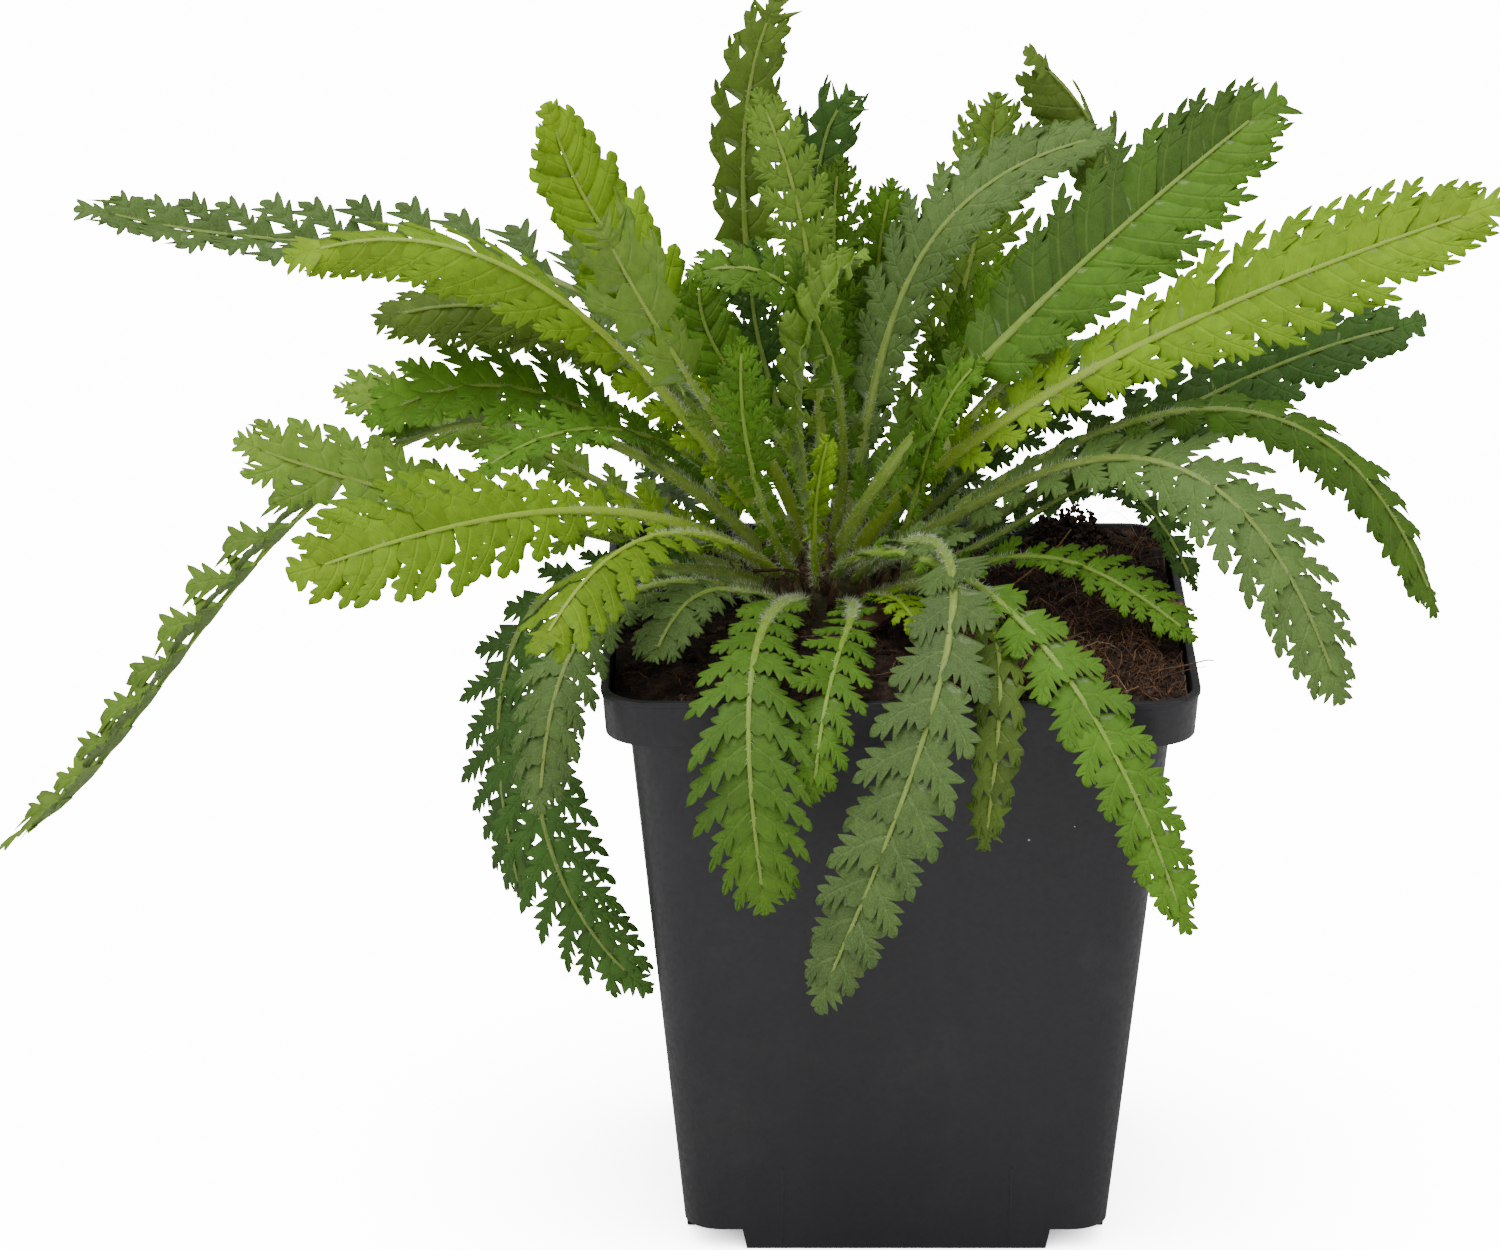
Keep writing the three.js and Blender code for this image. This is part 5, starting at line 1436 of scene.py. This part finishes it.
# The upper half of this blade is painted darker and the lower half lighter: painted shade and painted light.
grow("right_upper", (292, 55, 32), (35, -6, 187), (68, -1, 212),
     ((-0.4, -0.8, 0.4), (-0.3, -0.9, 0.3)), (17, 11, 0.4, 8, 2.4), "mid", "broad", -0.12, 0.22)
grow("right_bright", (320, 55, 34), (55, -22, 181), (106.5, -28, 200),
     ((-0.3, -0.7, 0.6), (-0.2, -0.9, 0.4)), (15, 12, 0.42, 4, 2.8), "fresh", "joined")
grow("right_dark", (16, 20, 32), (58, 20, 156), (98, 18, 165),
     ((-0.2, -0.6, 0.8), (-0.2, -0.8, 0.6)), (11, 11, 0.3, 8, 2.4), "dark", "crenate")
grow("right_fall", (0, 37, 34), (78, 6, 182), (102, 0, 114),
     ((-0.2, -0.5, 0.8), (0.6, -0.6, 0.5)), (8.5, 10, 0.46, -14), "mid", "joined", -0.08)
grow("right_arch", (343, 37, 34), (58, -32, 179), (81, -37, 110),
     ((-0.2, -0.6, 0.8), (0.4, -0.8, 0.4)), (13.5, 10, 0.38, -6, 2.6), "grey", "pointed", 0.2)
grow("right_back_hang", (356, 19, 36), (40, 16, 152), (56, -8, 121),
     ((0, -0.5, 0.9), (0.1, -0.6, 0.8)), (4.5, 8, 0.42, 16), "dark", "ferny", -0.1)
grow("right_over_soil", (338, 19, 26), (28, -2, 133), (54, -27, 118),
     ((0, -0.4, 1), (-0.1, -0.5, 0.9)), (7, 9, 0.4, 16), "bright", "ferny")
grow("right_inner", (326, 38, 18), (1, -10, 152), (15, -8, 165),
     ((-0.6, -0.7, 0.3), (-0.6, -0.7, 0.3)), (5.5, 7, 0.4, 20), "bright", "joined")
grow("right_middle", (36, 37, 26), (6, 10, 170), (31, 8, 182),
     ((-0.3, -0.8, 0.5), (-0.2, -0.8, 0.6)), (8.5, 10, 0.22, 10), "bright", "pointed")
grow("right_low", (18, 37, 26), (30, 16, 154), (48, 14, 158),
     ((-0.2, -0.6, 0.8), (-0.2, -0.7, 0.7)), (8, 7, 0.4, 10), "dark", "ferny", -0.1)
grow("middle_dark", (100, 38, 28), (-4, 34, 166), (6, 29, 182),
     ((0, -1, 0.2), (-0.1, -1, 0.3)), (9.5, 10, 0.22, 10), "dark", "pointed", -0.1)


# The fronds over the front rim: they bend down in front of the pot and show their upper side.
grow("front_right", (286, 41, 18), (27, -58, 151), (51, -74, 78),
     ((0.1, -0.5, 0.9), (0.1, -1, 0.2)), (9.5, 9, 0.4, 4, 2.2), "bright", "pointed")
grow("front_thin", (318, 20, 32), (21, -68, 139), (15, -65, 90),
     ((0, -0.4, 0.9), (0, -1, 0.1)), (6.5, 7, 0.42, 8), "olive", "fingers", -0.25)
grow("front_grey", (306, 38, 34), (24, -73, 156), (-15, -73, 63),
     ((-0.2, -0.6, 0.8), (-0.3, -0.9, 0.2)), (12.5, 10, 0.34, 10, 2.2), "grey", "pointed", -0.22)
grow("front_left_fern", (256, 19, 22), (-33, -76, 138), (-25, -67, 80),
     ((0, -0.4, 0.9), (0, -1, 0.1)), (13.5, 10, 0.34, 4), "mid", "pointed", -0.12)
grow("front_fern", (286, 17, 22), (-14, -64, 132), (-16, -65, 100),
     ((0, -0.4, 0.9), (0, -1, 0.1)), (8.5, 8, 0.36, 4), "bright", "ferny", -0.2)
grow("front_left_grey", (240, 17, 16), (-38, -22, 132), (-45, -42, 119),
     ((0, -0.5, 0.9), (-0.2, -0.8, 0.6)), (8, 6, 0.4, 6), "grey", "joined", -0.15)
grow("front_sprig", (302, 17, 9), (-1, -14, 124), (4, -24, 118),
     ((0, -0.3, 1), (0.1, -0.6, 0.8)), (6, 5, 0.4, 10), "fresh", "ferny")


# The fronds at the back, which the photograph doesn't show: made up after the ones in front.
grow("back_left", (116, 20, 36), (-50, 76, 160), (-62, 98, 134),
     ((0, 0.4, 0.9), (-0.3, 0.8, 0.5)), (9.5, 9, 0.4, 6), "mid", "pointed")
grow("back_middle", (74, 38, 40), (-6, 82, 172), (0, 112, 150),
     ((0, 0.4, 0.9), (0, 0.8, 0.5)), (10, 9, 0.4, 6), "pale", "pointed")
grow("back_right", (40, 20, 36), (34, 74, 160), (48, 98, 134),
     ((0, 0.4, 0.9), (0.3, 0.8, 0.5)), (9.5, 9, 0.4, 6), "bright", "pointed")
grow("back_hang_left", (134, 20, 26), (-42, 74, 150), (-46, 72, 84),
     ((0, 0.4, 0.9), (0, 1, 0.1)), (9, 9, 0.38, 4), "dark", "ferny")
grow("back_hang_right", (66, 20, 26), (12, 80, 148), (20, 73, 80),
     ((0, 0.4, 0.9), (0, 1, 0.1)), (9, 9, 0.38, 4), "mid", "pointed")
